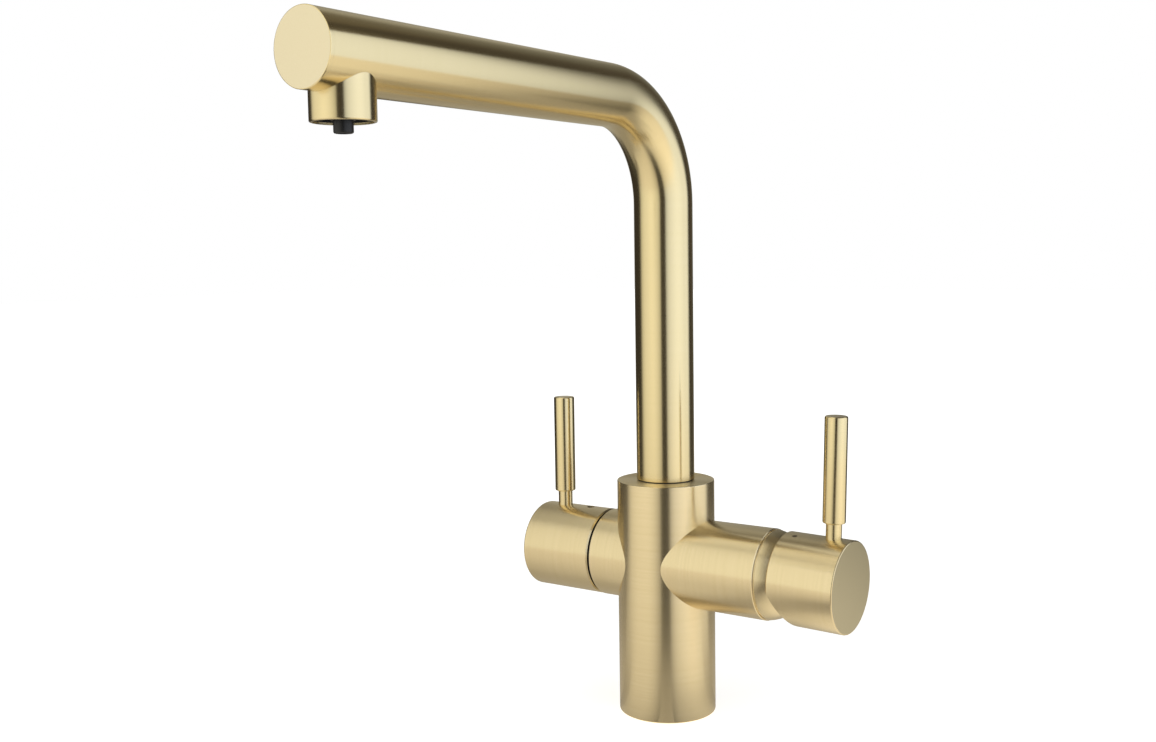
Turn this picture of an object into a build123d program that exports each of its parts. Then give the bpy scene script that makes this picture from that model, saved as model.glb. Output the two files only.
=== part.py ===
from build123d import *
import math
import os

# Three way filtered water tap. Millimetres, +Z up. The origin is the centre of the foot, on the sink's top.
# The spout points to -Y, the mixer's arm to +X and the filter valve's arm to -X.

# ---------------------------------------------------------------- driving dimensions
# Body and arms
BODY_R = 24.0
BODY_TOP = 116.25
BODY_TOP_BREAK = 0.35
FOOT_ROUND = 1.0
ARM_R = 21.75
ARM_Z = 76.0
ARM_EDGE_BREAK = 0.3
MIXER_ARM_LENGTH = 35.1
FILTER_ARM_LENGTH = 8.2

# Spout
TUBE_R = 14.25
TUBE_WALL = 1.5
SPOUT_AXIS_Z = 299.6
SPOUT_BEND_R = 48.4
SPOUT_REACH = 230.1
END_CAP_THICKNESS = 1.6
END_CAP_PLUG = 4.0
END_CAP_PLUG_WALL = 2.0
END_CAP_PLUG_FLOOR = 0.5
END_CAP_BREAK = 0.4
SWIVEL_FLANGE = 0.6

# Nozzle
NOZZLE_SETBACK = 18.3
NOZZLE_R = 12.0
NOZZLE_BORE_R = 10.75
NOZZLE_DROP = 9.75
NOZZLE_RIM_BREAK = 0.5
CAGE_RECESS = 0.7
CAGE_HEADROOM = 2.45
CAGE_WALL = 1.1
CAGE_RIM_HEIGHT = 2.4
HUB_WALL = 0.9
SPOKE_WIDTH = 0.9
SPOKE_HEIGHT = 1.4
SPOKE_LIFT = 1.6
SPOKE_ROOT = 0.3
STRAIGHTENER_RECESS = 0.8
STRAIGHTENER_RING = 0.5
VANE_THICKNESS = 0.35
SCREEN_THICKNESS = 0.5
SCREEN_HOLE_R = 0.9
WASHER_WIDTH = 2.15
WASHER_THICKNESS = 1.5
FILTER_OUTLET_R = 3.6
FILTER_OUTLET_BORE_R = 1.9
FILTER_OUTLET_DROP = 3.9
OUTLET_FLANGE = 1.4
OUTLET_TIP_BREAK = 0.6
SPOUT_WATER_HOLE_R = 8.0

# Inner tube for the filtered water, with its elbow over the nozzle
FILTER_TUBE_R = 3.0
FILTER_TUBE_BORE_R = 2.0
FILTER_TUBE_FOOT_Z = 69.0
FILTER_TUBE_ROOM = 5.0
TUBE_SEAL_GROOVE = 1.6
TUBE_SEAL_WIDTH = 2.0
TUBE_SEAL_DOWN = 3.2
ELBOW_R = 4.8
ELBOW_LEG = 9.3
ELBOW_SOCKET = 6.0

# Caps, and levers measured up from the arms' axis
CAP_INSET = 0.15
CAP_WALL = 3.0
CAP_END_WALL = 4.0
CAP_EDGE_BREAK = 0.5
MIXER_CAP_LENGTH = 32.5
MIXER_RIM_FROM_PIVOT = 10.0
MIXER_BOSS_R = 8.5
RIM_CUT_DROP = 2.6
RIM_CUT_DEPTH = 10.0
FILTER_CAP_LENGTH = 39.7
FILTER_CAP_GAP = 1.5
FILTER_BOSS_R = 9.0
FILTER_MOUTH_WALL = 2.4
LEVER_R = 5.3
LEVER_NECK_R = 3.65
LEVER_SHOULDER = 28.9
LEVER_TOP = 78.1
LEVER_TOP_BREAK = 0.8
LEVER_SHOULDER_BREAK = 0.6
LEVER_NECK_ROOT = 6.0
LEVER_PAD_WALL = 2.6
MIXER_LEVER_FROM_END = 9.1
FILTER_LEVER_FROM_END = 11.7
CAP_SCREW_R = 2.0
CAP_SCREW_KEY = 2.0
MIXER_SCREW_LENGTH = 5.0
FILTER_SCREW_LENGTH = 5.6
MIXER_SCREW_IN = 4.2
FILTER_SCREW_IN = 3.3
SCREW_POINT_BREAK = 0.5
SCREW_CUP = 0.4
INDEX_DOT_R = 1.2
INDEX_DOT_DEPTH = 1.0
INDEX_DOT_SUNK = 0.05
INDEX_FROM_RIM = 6.0
INDEX_TURN = 11.7

# Mixer cartridge, measured outwards from its seat in the arm
CARTRIDGE_POCKET = 33.7
MIXER_ARM_WALL = 4.05
CARTRIDGE_WALL = 2.0
CARTRIDGE_BASE = 3.2
CARTRIDGE_CUP = 20.6
CARTRIDGE_NECK = 9.0
CARTRIDGE_NECK_INSET = 3.4
CARTRIDGE_LIFT = 0.4
PEG_R = 1.5
PEG_INSET = 3.6
PEG_DEPTH = 1.2
PIVOT_HEIGHT = 30.6
CLOSED_DROOP = 1.2
CARTRIDGE_NECK_WALL = 1.95
TURRET_OVER_PIVOT = 3.5
PORT_CIRCLE_R = 8.0
PORT_R = 2.9
PORT_SEAL_WIDTH = 1.5
PORT_SEAL_DEPTH = 0.8
FIXED_DISC_THICKNESS = 4.0
MOVING_DISC_THICKNESS = 3.5
MOVING_DISC_INSET = 4.4
DISC_PLAY = 0.2
DISC_CLOSED_DROP = 2.2
HOLLOW_DOWN = 4.2
HOLLOW_LENGTH = 17.0
HOLLOW_WIDTH = 9.6
HOLLOW_DEPTH = 2.0
CARRIER_THICKNESS = 2.45
CARRIER_INSET = 0.6
CARRIER_BOSS_R = 4.7
CARRIER_BOSS_OVER_BALL = 1.5
BOSS_WINDOW_PLAY = 0.6
BOSS_WINDOW_HEADROOM = 2.5
BALL_ARM = 10.5
BALL_R = 3.0
BALL_PLAY = 0.12
STEM_SIDE = 6.5
STEM_PLAY = 0.2
STEM_SLOT = 14.2
STEM_NECK_R = 2.1
STEM_SQUARE_UNDER_PIVOT = 4.5
STEM_END_BREAK = 0.8
STEM_FROM_CAP_END = 7.5
PIVOT_PIN_R = 1.5
PIVOT_PIN_INSET = 0.6
NUT_HEIGHT = 8.0
NUT_NOTCH_WIDTH = 4.0
NUT_NOTCH_DEPTH = 1.8
COLLAR_WALL = 1.75
COLLAR_MOUTH_DEG = 37.0
COLLAR_SHOULDER = 0.8
COLLAR_SHOULDER_INSET = 0.9
COLLAR_NECK_INSET = 0.4
COLLAR_NECK_RISE = 1.2

# Filter valve, measured outwards from its seat in the body
VALVE_DEPTH = 13.6
VALVE_THREAD_R = 9.4
VALVE_NOSE_R = 7.2
VALVE_NOSE_GAP = 0.7
VALVE_THREAD_LEAD = 0.4
VALVE_WINDOW_WIDTH = 5.0
VALVE_WINDOW_HEIGHT = 1.8
VALVE_BORE_R = 6.3
VALVE_HEX_ACROSS_FLATS = 24.0
VALVE_HEX_HEIGHT = 4.8
VALVE_HEX_CLEARANCE = 0.75
VALVE_NECK_R = 6.8
VALVE_NECK = 4.0
VALVE_SEAL_SEAT = 1.9
VALVE_SEAL_DEPTH = 1.6
SEAT_SEAL_BORE_R = 3.6
FILTER_DISC_LIFT = 1.5
FILTER_DISC_THICKNESS = 2.5
DISC_WINDOW_LENGTH = 5.6
DISC_WINDOW_WIDTH = 2.8
DISC_WINDOW_OUT = 3.5
TONGUE_WIDTH = 3.0
TONGUE_LENGTH = 11.0
TONGUE_DEPTH = 0.7
GAP_RING_INSET = 1.3
GAP_RING_CLEARANCE = 0.25
SPINDLE_R = 3.5
SPINDLE_OUT = 15.0
SPINDLE_FLAT = 2.9
SPINDLE_FLANGE = 3.0
SPINDLE_GROOVE = 1.1
SPINDLE_GROOVE_WIDTH = 1.8
CLIP_GROOVE = 0.6
CLIP_LIFT = 0.2
CLIP_THICKNESS = 0.6
CLIP_PROUD = 1.3
CLIP_MOUTH = 3.4

# Foot
HOSE_THREAD_R = 4.46
HOSE_THREAD_DEPTH = 12.0
HOT_COLD_OUT = 9.5
FILTER_PORT_OUT = 12.0
STUD_THREAD_R = 3.32
STUD_THREAD_DEPTH = 16.0
STUD_BACK = 4.9
STUD_SIDE = 13.0
WATERWAY_R = 3.0
FILTER_WATERWAY_R = 2.5
FEED_PAST_SEAT = 2.7
RISER_OUT = 5.0
BASE_SEAL_MID_R = 20.75
BASE_SEAL_WIDTH = 2.4
BASE_SEAL_DEPTH = 2.0

# Spout socket
SPIGOT_R = 10.9
SPIGOT_LIFT = 0.8
SPIGOT_BORE_R = 7.5
SPIGOT_INSERT = 14.0
SPIGOT_EDGE_BREAK = 0.8
SPIGOT_GROOVE = 1.8
ORING_WIDTH = 2.4
ORING_UNDER_BUSH = 3.2
ORING_PITCH = 5.2
SOCKET_FLOOR_Z = 92.0
CHAMBER_R = 7.0
CHAMBER_HEIGHT = 12.0
CHAMBER_INLET_LIFT = 1.0
BUSH_WALL = 1.4
BUSH_DEPTH = 3.0
BUSH_FLANGE_INSET = 0.5
RETAINING_SCREW_LIFT = 6.0
RETAINING_SCREW_R = 2.4
RETAINING_SCREW_LENGTH = 11.0
RETAINING_SCREW_KEY = 2.5
RETAINING_SCREW_BITE = 1.0
RETAINING_GROOVE_PLAY = 0.4

# Fits and clearances; CUT is how far a cutting shape runs past the face it cuts
SEAT = 0.02
RUNNING = 0.05
FREE = 0.3
LOOSE = 0.1
SEAL_SQUEEZE = 0.02
SOCKET_PLAY = 0.05
COLLAR_CLEARANCE = 0.4
MOUTH_CLEARANCE = 0.5
FILTER_BOSS_CLEARANCE = 1.3
STEM_END_ROOM = 0.3
CUT = 1.0

# Patterns
SPOKES = 6
VANES = 24
SCREEN_HOLES = 16

# ---------------------------------------------------------------- places worked out from the sizes
# Spout and nozzle
SPOUT_FOOT_Z = BODY_TOP + SWIVEL_FLANGE + RUNNING
TUBE_BORE_R = TUBE_R - TUBE_WALL
TUBE_END_Y = SPOUT_REACH - END_CAP_THICKNESS
NOZZLE_REACH = SPOUT_REACH - NOZZLE_SETBACK
NOZZLE_AXIS = Pos(0, -NOZZLE_REACH, 0)
NOZZLE_RIM_Z = SPOUT_AXIS_Z - TUBE_R - NOZZLE_DROP
FILTER_OUTLET_TIP_Z = NOZZLE_RIM_Z - FILTER_OUTLET_DROP
CAGE_FOOT = NOZZLE_RIM_Z + CAGE_RECESS
CAGE_TOP = SPOUT_AXIS_Z - TUBE_R - CAGE_HEADROOM
CAGE_R = NOZZLE_BORE_R - SEAT
CAGE_BORE_R = CAGE_R - CAGE_WALL
HUB_BORE_R = FILTER_OUTLET_R + SEAT
HUB_R = HUB_BORE_R + HUB_WALL
STRAIGHTENER_FOOT = CAGE_FOOT + CAGE_RIM_HEIGHT
STRAIGHTENER_TOP = CAGE_TOP - STRAIGHTENER_RECESS

# Spout socket
SPIGOT_FOOT_Z = SOCKET_FLOOR_Z + SPIGOT_LIFT
SPIGOT_GROOVE_R = SPIGOT_R - SPIGOT_GROOVE
CHAMBER_FLOOR_Z = SOCKET_FLOOR_Z - CHAMBER_HEIGHT
RETAINING_SCREW_Z = SOCKET_FLOOR_Z + RETAINING_SCREW_LIFT
UPPER_ORING_Z = BODY_TOP - BUSH_DEPTH - ORING_UNDER_BUSH
ORING_ZS = (UPPER_ORING_Z, UPPER_ORING_Z - ORING_PITCH)

# Arms, caps and cartridge, in step with the body and the arms
MIXER_ARM_END = BODY_R + MIXER_ARM_LENGTH
FILTER_ARM_END = BODY_R + FILTER_ARM_LENGTH
COLLAR_R = ARM_R
CAP_R = ARM_R - CAP_INSET
CARTRIDGE_R = ARM_R - MIXER_ARM_WALL - FREE
CARTRIDGE_NECK_R = CARTRIDGE_R - CARTRIDGE_NECK_INSET
TURRET_R = CARTRIDGE_NECK_R - CARTRIDGE_NECK_WALL - RUNNING
MOVING_DISC_R = CARTRIDGE_R - MOVING_DISC_INSET

# Mixer, distances out from the body's axis
CARTRIDGE_SEAT = MIXER_ARM_END - CARTRIDGE_POCKET
CARTRIDGE_FOOT = CARTRIDGE_SEAT + CARTRIDGE_LIFT
CARTRIDGE_SHOULDER = CARTRIDGE_SEAT + CARTRIDGE_CUP
CARTRIDGE_NECK_END = CARTRIDGE_SHOULDER + CARTRIDGE_NECK
PIVOT_OUT = CARTRIDGE_SEAT + PIVOT_HEIGHT
TURRET_END = PIVOT_OUT + TURRET_OVER_PIVOT
INLET_UP = PORT_CIRCLE_R * math.sin(math.radians(30))
INLET_SIDE = PORT_CIRCLE_R * math.cos(math.radians(30))
PORT_SEAL_R = PORT_R + PORT_SEAL_WIDTH
DISC_FOOT = CARTRIDGE_FOOT + CARTRIDGE_BASE
MOVING_DISC_FOOT = DISC_FOOT + FIXED_DISC_THICKNESS + RUNNING
CARRIER_FOOT = MOVING_DISC_FOOT + MOVING_DISC_THICKNESS
CARRIER_TOP = CARRIER_FOOT + CARRIER_THICKNESS
TURRET_FLANGE_FOOT = CARRIER_TOP + FREE
TURRET_FLANGE_TOP = CARTRIDGE_SHOULDER - CARTRIDGE_WALL - DISC_PLAY
BALL_OUT = PIVOT_OUT - BALL_ARM
BALL_REST_UP = BALL_ARM * math.sin(math.radians(CLOSED_DROOP))
BOSS_TOP = BALL_OUT + CARRIER_BOSS_OVER_BALL
MIXER_CAP_RIM = PIVOT_OUT + MIXER_RIM_FROM_PIVOT
MIXER_CAP_END = MIXER_CAP_RIM + MIXER_CAP_LENGTH
MIXER_LEVER_OUT = MIXER_CAP_END - MIXER_LEVER_FROM_END
MIXER_BOSS_FOOT = PIVOT_OUT + COLLAR_R + COLLAR_CLEARANCE
MIXER_MOUTH_R = math.sqrt((COLLAR_R + MOUTH_CLEARANCE) ** 2 - MIXER_RIM_FROM_PIVOT**2)
MIXER_SCREW_OUT = MIXER_BOSS_FOOT + MIXER_SCREW_IN
INDEX_OUT = MIXER_CAP_RIM + INDEX_FROM_RIM
STEM_END = MIXER_CAP_END - STEM_FROM_CAP_END

# Filter valve, distances out from the body's axis
VALVE_SEAT = FILTER_ARM_END - VALVE_DEPTH
VALVE_NOSE_FOOT = VALVE_SEAT + VALVE_NOSE_GAP
VALVE_HEX_END = FILTER_ARM_END + VALVE_HEX_HEIGHT
VALVE_NECK_END = VALVE_HEX_END + VALVE_NECK
SPINDLE_END = VALVE_NECK_END + SPINDLE_OUT
FILTER_DISC_R = VALVE_BORE_R - LOOSE
FILTER_DISC_FOOT = VALVE_NOSE_FOOT + FILTER_DISC_LIFT
TURNING_DISC_FOOT = FILTER_DISC_FOOT + FILTER_DISC_THICKNESS + RUNNING
TURNING_DISC_TOP = TURNING_DISC_FOOT + FILTER_DISC_THICKNESS
SPINDLE_FLANGE_TOP = TURNING_DISC_TOP + SPINDLE_FLANGE
VALVE_BORE_END = SPINDLE_FLANGE_TOP + DISC_PLAY
SPINDLE_GROOVE_MID = (VALVE_BORE_END + VALVE_NECK_END) / 2
FILTER_CAP_RIM = FILTER_ARM_END + FILTER_CAP_GAP
FILTER_CAP_END = FILTER_CAP_RIM + FILTER_CAP_LENGTH
FILTER_LEVER_OUT = FILTER_CAP_END - FILTER_LEVER_FROM_END
FILTER_BOSS_FOOT = VALVE_NECK_END + FILTER_BOSS_CLEARANCE
FILTER_SCREW_OUT = FILTER_BOSS_FOOT + FILTER_SCREW_IN

# Each side arm has its own frame: local X is up, local Z runs outwards along the arm.
MIXER_SIDE = Plane(origin=(0, 0, ARM_Z), x_dir=(0, 0, 1), z_dir=(1, 0, 0))
FILTER_SIDE = Plane(origin=(0, 0, ARM_Z), x_dir=(0, 0, 1), z_dir=(-1, 0, 0))


# ---------------------------------------------------------------- helpers
def turned(*corners):
    """Solid turned about Z from the (radius, height) corners of its half section."""
    outline = Polyline(*[(radius, 0, height) for radius, height in corners], close=True)
    return revolve(make_face(outline), Axis.Z)


def rod(radius, low, high):
    return turned((0, low), (radius, low), (radius, high), (0, high))


def ring(inner, outer, low, high):
    return turned((inner, low), (outer, low), (outer, high), (inner, high))


def o_ring(inner, outer, height):
    """Seal ring that fills the space between two radii, centred at a height, with an eight-sided section."""
    middle = (inner + outer) / 2
    reach = (outer - inner) / 2
    flat = reach * math.tan(math.radians(22.5))
    return turned(
        (middle - reach, height - flat),
        (middle - flat, height - reach),
        (middle + flat, height - reach),
        (middle + reach, height - flat),
        (middle + reach, height + flat),
        (middle + flat, height + reach),
        (middle - flat, height + reach),
        (middle - reach, height + flat),
    )


def upright(height, shape):
    """In an arm's frame, turns a shape made about Z so that its Z points up, at a distance out."""
    return Pos(0, 0, height) * Rot(0, 90, 0) * shape


def hanging(height, shape):
    """The same, pointing down."""
    return Pos(0, 0, height) * Rot(0, -90, 0) * shape


def drilled(start, end, radius):
    """Round hole from one point to another."""
    path = Line(start, end)
    return sweep(Plane(origin=start, z_dir=path % 0) * Circle(radius), path=path)


def square_bar(side, low, high):
    return Pos(0, 0, low) * extrude(Rectangle(side, side), high - low)


def spout_path(start_y, foot_z):
    """Centre line of the spout: along the reach, round the bend and down the column."""
    return FilletPolyline(
        (0, start_y, SPOUT_AXIS_Z), (0, 0, SPOUT_AXIS_Z), (0, 0, foot_z), radius=SPOUT_BEND_R
    )


def swept_round(radius, path):
    return sweep(Plane(origin=path @ 0, z_dir=path % 0) * Circle(radius), path=path)


def tilted_closed(shape):
    """Leans a mixer handle piece by the droop that its stem's play gives it when shut."""
    pivot = Pos(PIVOT_OUT, 0, ARM_Z)
    return pivot * Rot(0, CLOSED_DROOP, 0) * pivot.inverse() * shape


# ---------------------------------------------------------------- body and arms
def arm(end):
    """Side arm from inside the body to its mouth, with a broken edge and a saddle that seats on the body."""
    edge = ARM_EDGE_BREAK
    return turned((0, 0), (ARM_R, 0), (ARM_R, end - edge), (ARM_R - edge, end), (0, end))


def off_the_body(shape):
    """Cuts the body's round out of an arm and leaves the part on the arm's own side."""
    clear = Cylinder(BODY_R + SEAT, 2 * BODY_TOP)
    return (shape - clear).solids().sort_by(SortBy.VOLUME)[-1]


def hose_ports():
    """Two inlets for hot and cold on the mixer's side, one for filtered water on the other."""
    return [
        Pos(HOT_COLD_OUT, INLET_SIDE, 0),
        Pos(HOT_COLD_OUT, -INLET_SIDE, 0),
        Pos(-FILTER_PORT_OUT, 0, 0),
    ]


def mixer_waterways():
    """Hot and cold rise to the cartridge's two upper ports; mixed water leaves by the lower one."""
    inlet_z = ARM_Z + INLET_UP
    outlet_z = ARM_Z - PORT_CIRCLE_R
    riser_x = HOT_COLD_OUT + RISER_OUT
    port_end = CARTRIDGE_SEAT + CUT
    cuts = []
    for side in (INLET_SIDE, -INLET_SIDE):
        rise = rod(WATERWAY_R, HOSE_THREAD_DEPTH - CUT, inlet_z + WATERWAY_R)
        cuts.append(Pos(HOT_COLD_OUT, side, 0) * rise)
        cuts.append(drilled((port_end, side, inlet_z), (HOT_COLD_OUT, side, inlet_z), PORT_R))
    chamber_mid = (CHAMBER_FLOOR_Z + SOCKET_FLOOR_Z) / 2 + CHAMBER_INLET_LIFT
    cuts.append(drilled((port_end, 0, outlet_z), (riser_x, 0, outlet_z), PORT_R))
    cuts.append(Pos(riser_x, 0, 0) * rod(WATERWAY_R, outlet_z - PORT_R, chamber_mid + PORT_R))
    cuts.append(drilled((riser_x, 0, chamber_mid), (0, 0, chamber_mid), PORT_R))
    return cuts


def filter_waterways():
    """A slanted bore feeds the valve from its port; another takes its water to the inner tube."""
    bore_foot_z = FILTER_TUBE_FOOT_Z - FILTER_TUBE_ROOM
    feed_top = (-VALVE_SEAT - FEED_PAST_SEAT, 0, ARM_Z - VALVE_NOSE_R - CUT)
    feed_foot = (-FILTER_PORT_OUT, 0, HOSE_THREAD_DEPTH - CUT)
    valve_end = (-VALVE_SEAT - CUT / 2, 0, ARM_Z)
    tube_end = (0, 0, bore_foot_z + FILTER_WATERWAY_R)
    seal_z = CHAMBER_FLOOR_Z - TUBE_SEAL_DOWN
    half = TUBE_SEAL_WIDTH / 2
    return [
        drilled(feed_foot, feed_top, WATERWAY_R),
        drilled(valve_end, tube_end, FILTER_WATERWAY_R),
        rod(FILTER_TUBE_R + RUNNING, bore_foot_z, CHAMBER_FLOOR_Z + CUT),
        ring(FILTER_TUBE_R, FILTER_TUBE_R + TUBE_SEAL_GROOVE, seal_z - half, seal_z + half),
    ]


def cartridge_pegs(clearance):
    """Two pegs under the cartridge that key it into its seat."""
    peg = rod(PEG_R + clearance, CARTRIDGE_SEAT - PEG_DEPTH - 3 * clearance, CARTRIDGE_FOOT + CUT)
    return [Rot(0, 0, turn) * Pos(CARTRIDGE_R - PEG_INSET, 0, 0) * peg for turn in (0, 180)]


def cartridge_pocket():
    return MIXER_SIDE * rod(CARTRIDGE_R + FREE, CARTRIDGE_SEAT, MIXER_ARM_END + CUT)


def valve_bore():
    return FILTER_SIDE * rod(VALVE_THREAD_R + SEAT, VALVE_SEAT, FILTER_ARM_END + CUT)


def retaining_hole():
    """Threaded hole at the back, for the screw that keeps the spigot in its socket."""
    hole = rod(RETAINING_SCREW_R + SEAT, SPIGOT_BORE_R, BODY_R + CUT)
    return Pos(0, 0, RETAINING_SCREW_Z) * Rot(-90, 0, 0) * hole


def make_tap_body():
    """Turned column with the spout's socket above, the hose ports below and the valves' waterways."""
    body = Cylinder(BODY_R, BODY_TOP, align=(Align.CENTER, Align.CENTER, Align.MIN))
    body = fillet(body.edges().group_by(Axis.Z)[0], FOOT_ROUND)
    body = chamfer(body.edges().group_by(Axis.Z)[-1], BODY_TOP_BREAK)
    cuts = [
        rod(SPIGOT_R + RUNNING, SOCKET_FLOOR_Z, BODY_TOP + CUT),
        rod(SPIGOT_R + BUSH_WALL + 2 * SEAT, BODY_TOP - BUSH_DEPTH, BODY_TOP + CUT),
        rod(CHAMBER_R, CHAMBER_FLOOR_Z, SOCKET_FLOOR_Z + CUT),
        cartridge_pocket(),
        valve_bore(),
        base_seal_shape(0),
        retaining_hole(),
    ]
    cuts += [port * rod(HOSE_THREAD_R, -CUT, HOSE_THREAD_DEPTH) for port in hose_ports()]
    stud_hole = rod(STUD_THREAD_R, -CUT, STUD_THREAD_DEPTH)
    cuts += [Pos(-STUD_BACK, y, 0) * stud_hole for y in (STUD_SIDE, -STUD_SIDE)]
    return body - cuts - mixer_waterways() - filter_waterways()


def make_mixer_arm():
    """Arm brazed to the body: a floor with three ports, and the pocket for the cartridge."""
    cuts = cartridge_ports(PORT_R, 0, CARTRIDGE_SEAT + CUT) + cartridge_pegs(LOOSE)
    return off_the_body(MIXER_SIDE * (arm(MIXER_ARM_END) - cuts) - cartridge_pocket())


def make_filter_arm():
    """Short arm brazed to the body, bored for the filter valve with a seal seat in its mouth."""
    seal_seat = rod(
        VALVE_THREAD_R + VALVE_SEAL_SEAT, FILTER_ARM_END - VALVE_SEAL_DEPTH, FILTER_ARM_END + CUT
    )
    return off_the_body(FILTER_SIDE * (arm(FILTER_ARM_END) - seal_seat) - valve_bore())


def base_seal_shape(clearance):
    half = BASE_SEAL_WIDTH / 2 - clearance
    low = 0 if clearance else -CUT
    return ring(BASE_SEAL_MID_R - half, BASE_SEAL_MID_R + half, low, BASE_SEAL_DEPTH - clearance)


def make_base_seal():
    return base_seal_shape(SEAT)


def make_spout_bush():
    """Flanged bush: the sleeve guides the spigot and the flange carries the column."""
    bore = SPIGOT_R + RUNNING
    sleeve = SPIGOT_R + BUSH_WALL + SEAT
    flange = TUBE_R - BUSH_FLANGE_INSET
    return turned(
        (bore, BODY_TOP - BUSH_DEPTH + SEAT),
        (sleeve, BODY_TOP - BUSH_DEPTH + SEAT),
        (sleeve, BODY_TOP),
        (flange, BODY_TOP),
        (flange, BODY_TOP + SWIVEL_FLANGE),
        (bore, BODY_TOP + SWIVEL_FLANGE),
    )


def grub_screw(radius, length, socket):
    """Headless screw along Z with a cupped point at 0 and a hexagon socket at its far end."""
    point = SCREW_POINT_BREAK
    blank = turned((0, SCREW_CUP), (radius - point, 0), (radius, point), (radius, length), (0, length))
    hexagon = RegularPolygon(socket / 2, 6, major_radius=False)
    return blank - Pos(0, 0, 0.55 * length) * extrude(hexagon, length)


def make_spout_grub_screw():
    screw = grub_screw(RETAINING_SCREW_R, RETAINING_SCREW_LENGTH, RETAINING_SCREW_KEY)
    return Pos(0, SPIGOT_R - RETAINING_SCREW_BITE, RETAINING_SCREW_Z) * Rot(-90, 0, 0) * screw


def make_filter_tube_seal():
    inner = FILTER_TUBE_R + SEAL_SQUEEZE
    outer = FILTER_TUBE_R + TUBE_SEAL_GROOVE - SEAT
    return o_ring(inner, outer, CHAMBER_FLOOR_Z - TUBE_SEAL_DOWN)


# ---------------------------------------------------------------- mixer cartridge
def at_the_ports(shape):
    """Copies of a shape at the two inlets above and the outlet below the cartridge's axis."""
    places = [(INLET_UP, INLET_SIDE), (INLET_UP, -INLET_SIDE), (-PORT_CIRCLE_R, 0)]
    return [Pos(up, side, 0) * shape for up, side in places]


def cartridge_ports(radius, low, high):
    return at_the_ports(rod(radius, low, high))


def make_cartridge_housing():
    inside = CARTRIDGE_R - CARTRIDGE_WALL
    cup_top = CARTRIDGE_SHOULDER - CARTRIDGE_WALL
    neck_bore = TURRET_R + RUNNING
    shell = turned(
        (0, CARTRIDGE_FOOT),
        (CARTRIDGE_R, CARTRIDGE_FOOT),
        (CARTRIDGE_R, CARTRIDGE_SHOULDER),
        (CARTRIDGE_NECK_R, CARTRIDGE_SHOULDER),
        (CARTRIDGE_NECK_R, CARTRIDGE_NECK_END),
        (neck_bore, CARTRIDGE_NECK_END),
        (neck_bore, cup_top),
        (inside, cup_top),
        (inside, DISC_FOOT),
        (0, DISC_FOOT),
    )
    shell += cartridge_pegs(0)
    shell -= cartridge_ports(PORT_R, CARTRIDGE_FOOT - CUT, DISC_FOOT + CUT)
    shell -= cartridge_ports(PORT_SEAL_R, CARTRIDGE_FOOT - CUT, CARTRIDGE_FOOT + PORT_SEAL_DEPTH)
    return MIXER_SIDE * shell


def make_cartridge_seals():
    low = CARTRIDGE_SEAT + SEAT
    seal = ring(PORT_R, PORT_SEAL_R - SEAT, low, CARTRIDGE_FOOT + PORT_SEAL_DEPTH - SEAT)
    return MIXER_SIDE * Compound(children=at_the_ports(seal))


def make_cartridge_fixed_disc():
    disc = rod(CARTRIDGE_R - CARTRIDGE_WALL - DISC_PLAY, DISC_FOOT, DISC_FOOT + FIXED_DISC_THICKNESS)
    return MIXER_SIDE * (disc - cartridge_ports(PORT_R, DISC_FOOT - CUT, MOVING_DISC_FOOT + CUT))


def make_cartridge_nut():
    """Ring nut with four spanner notches in its outer face."""
    low = CARTRIDGE_SHOULDER + SEAT
    high = CARTRIDGE_SHOULDER + NUT_HEIGHT
    nut = ring(CARTRIDGE_NECK_R + LOOSE, CARTRIDGE_R + FREE - SEAT, low, high)
    width = CARTRIDGE_R - CARTRIDGE_NECK_R
    notch = Pos(CARTRIDGE_R, 0, high) * Box(width + CUT, NUT_NOTCH_WIDTH, 2 * NUT_NOTCH_DEPTH)
    return MIXER_SIDE * (nut - [Rot(0, 0, turn) * notch for turn in (45, 135, 225, 315)])


def make_mixer_collar():
    """Domed collar: a zone of a ball centred on the pivot, with a shoulder and a sleeve in the arm."""
    sleeve_r = CARTRIDGE_R + FREE - SEAT
    sleeve_bore = CARTRIDGE_R - CARTRIDGE_WALL
    sleeve_foot = CARTRIDGE_SHOULDER + NUT_HEIGHT + FREE
    shoulder_top = MIXER_ARM_END + COLLAR_SHOULDER
    pivot = (0, PIVOT_OUT)
    inner_r = COLLAR_R - COLLAR_WALL
    foot_angle = math.degrees(math.asin((shoulder_top + ARM_EDGE_BREAK - PIVOT_OUT) / COLLAR_R))
    inner_foot_angle = math.degrees(math.asin((shoulder_top - PIVOT_OUT) / inner_r))
    mouth_angle = 90 - COLLAR_MOUTH_DEG
    with BuildSketch() as section:
        with BuildLine():
            outside = CenterArc(pivot, COLLAR_R, foot_angle, mouth_angle - foot_angle)
            inside = CenterArc(pivot, inner_r, inner_foot_angle, mouth_angle - inner_foot_angle)
            Line(outside @ 1, inside @ 1)
            Polyline(outside @ 0, (COLLAR_R - 2 * ARM_EDGE_BREAK, shoulder_top), inside @ 0)
        make_face()
    dome = revolve(Plane.XZ * section.sketch, Axis.Z)
    shoulder = ring(sleeve_bore, ARM_R - COLLAR_SHOULDER_INSET, MIXER_ARM_END + SEAT, shoulder_top)
    neck_r = inner_r - COLLAR_NECK_INSET
    inner_neck = ring(sleeve_bore, neck_r, shoulder_top - LOOSE, shoulder_top + COLLAR_NECK_RISE)
    sleeve = ring(sleeve_bore, sleeve_r, sleeve_foot, shoulder_top)
    return MIXER_SIDE * (dome + shoulder + inner_neck + sleeve)


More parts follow.
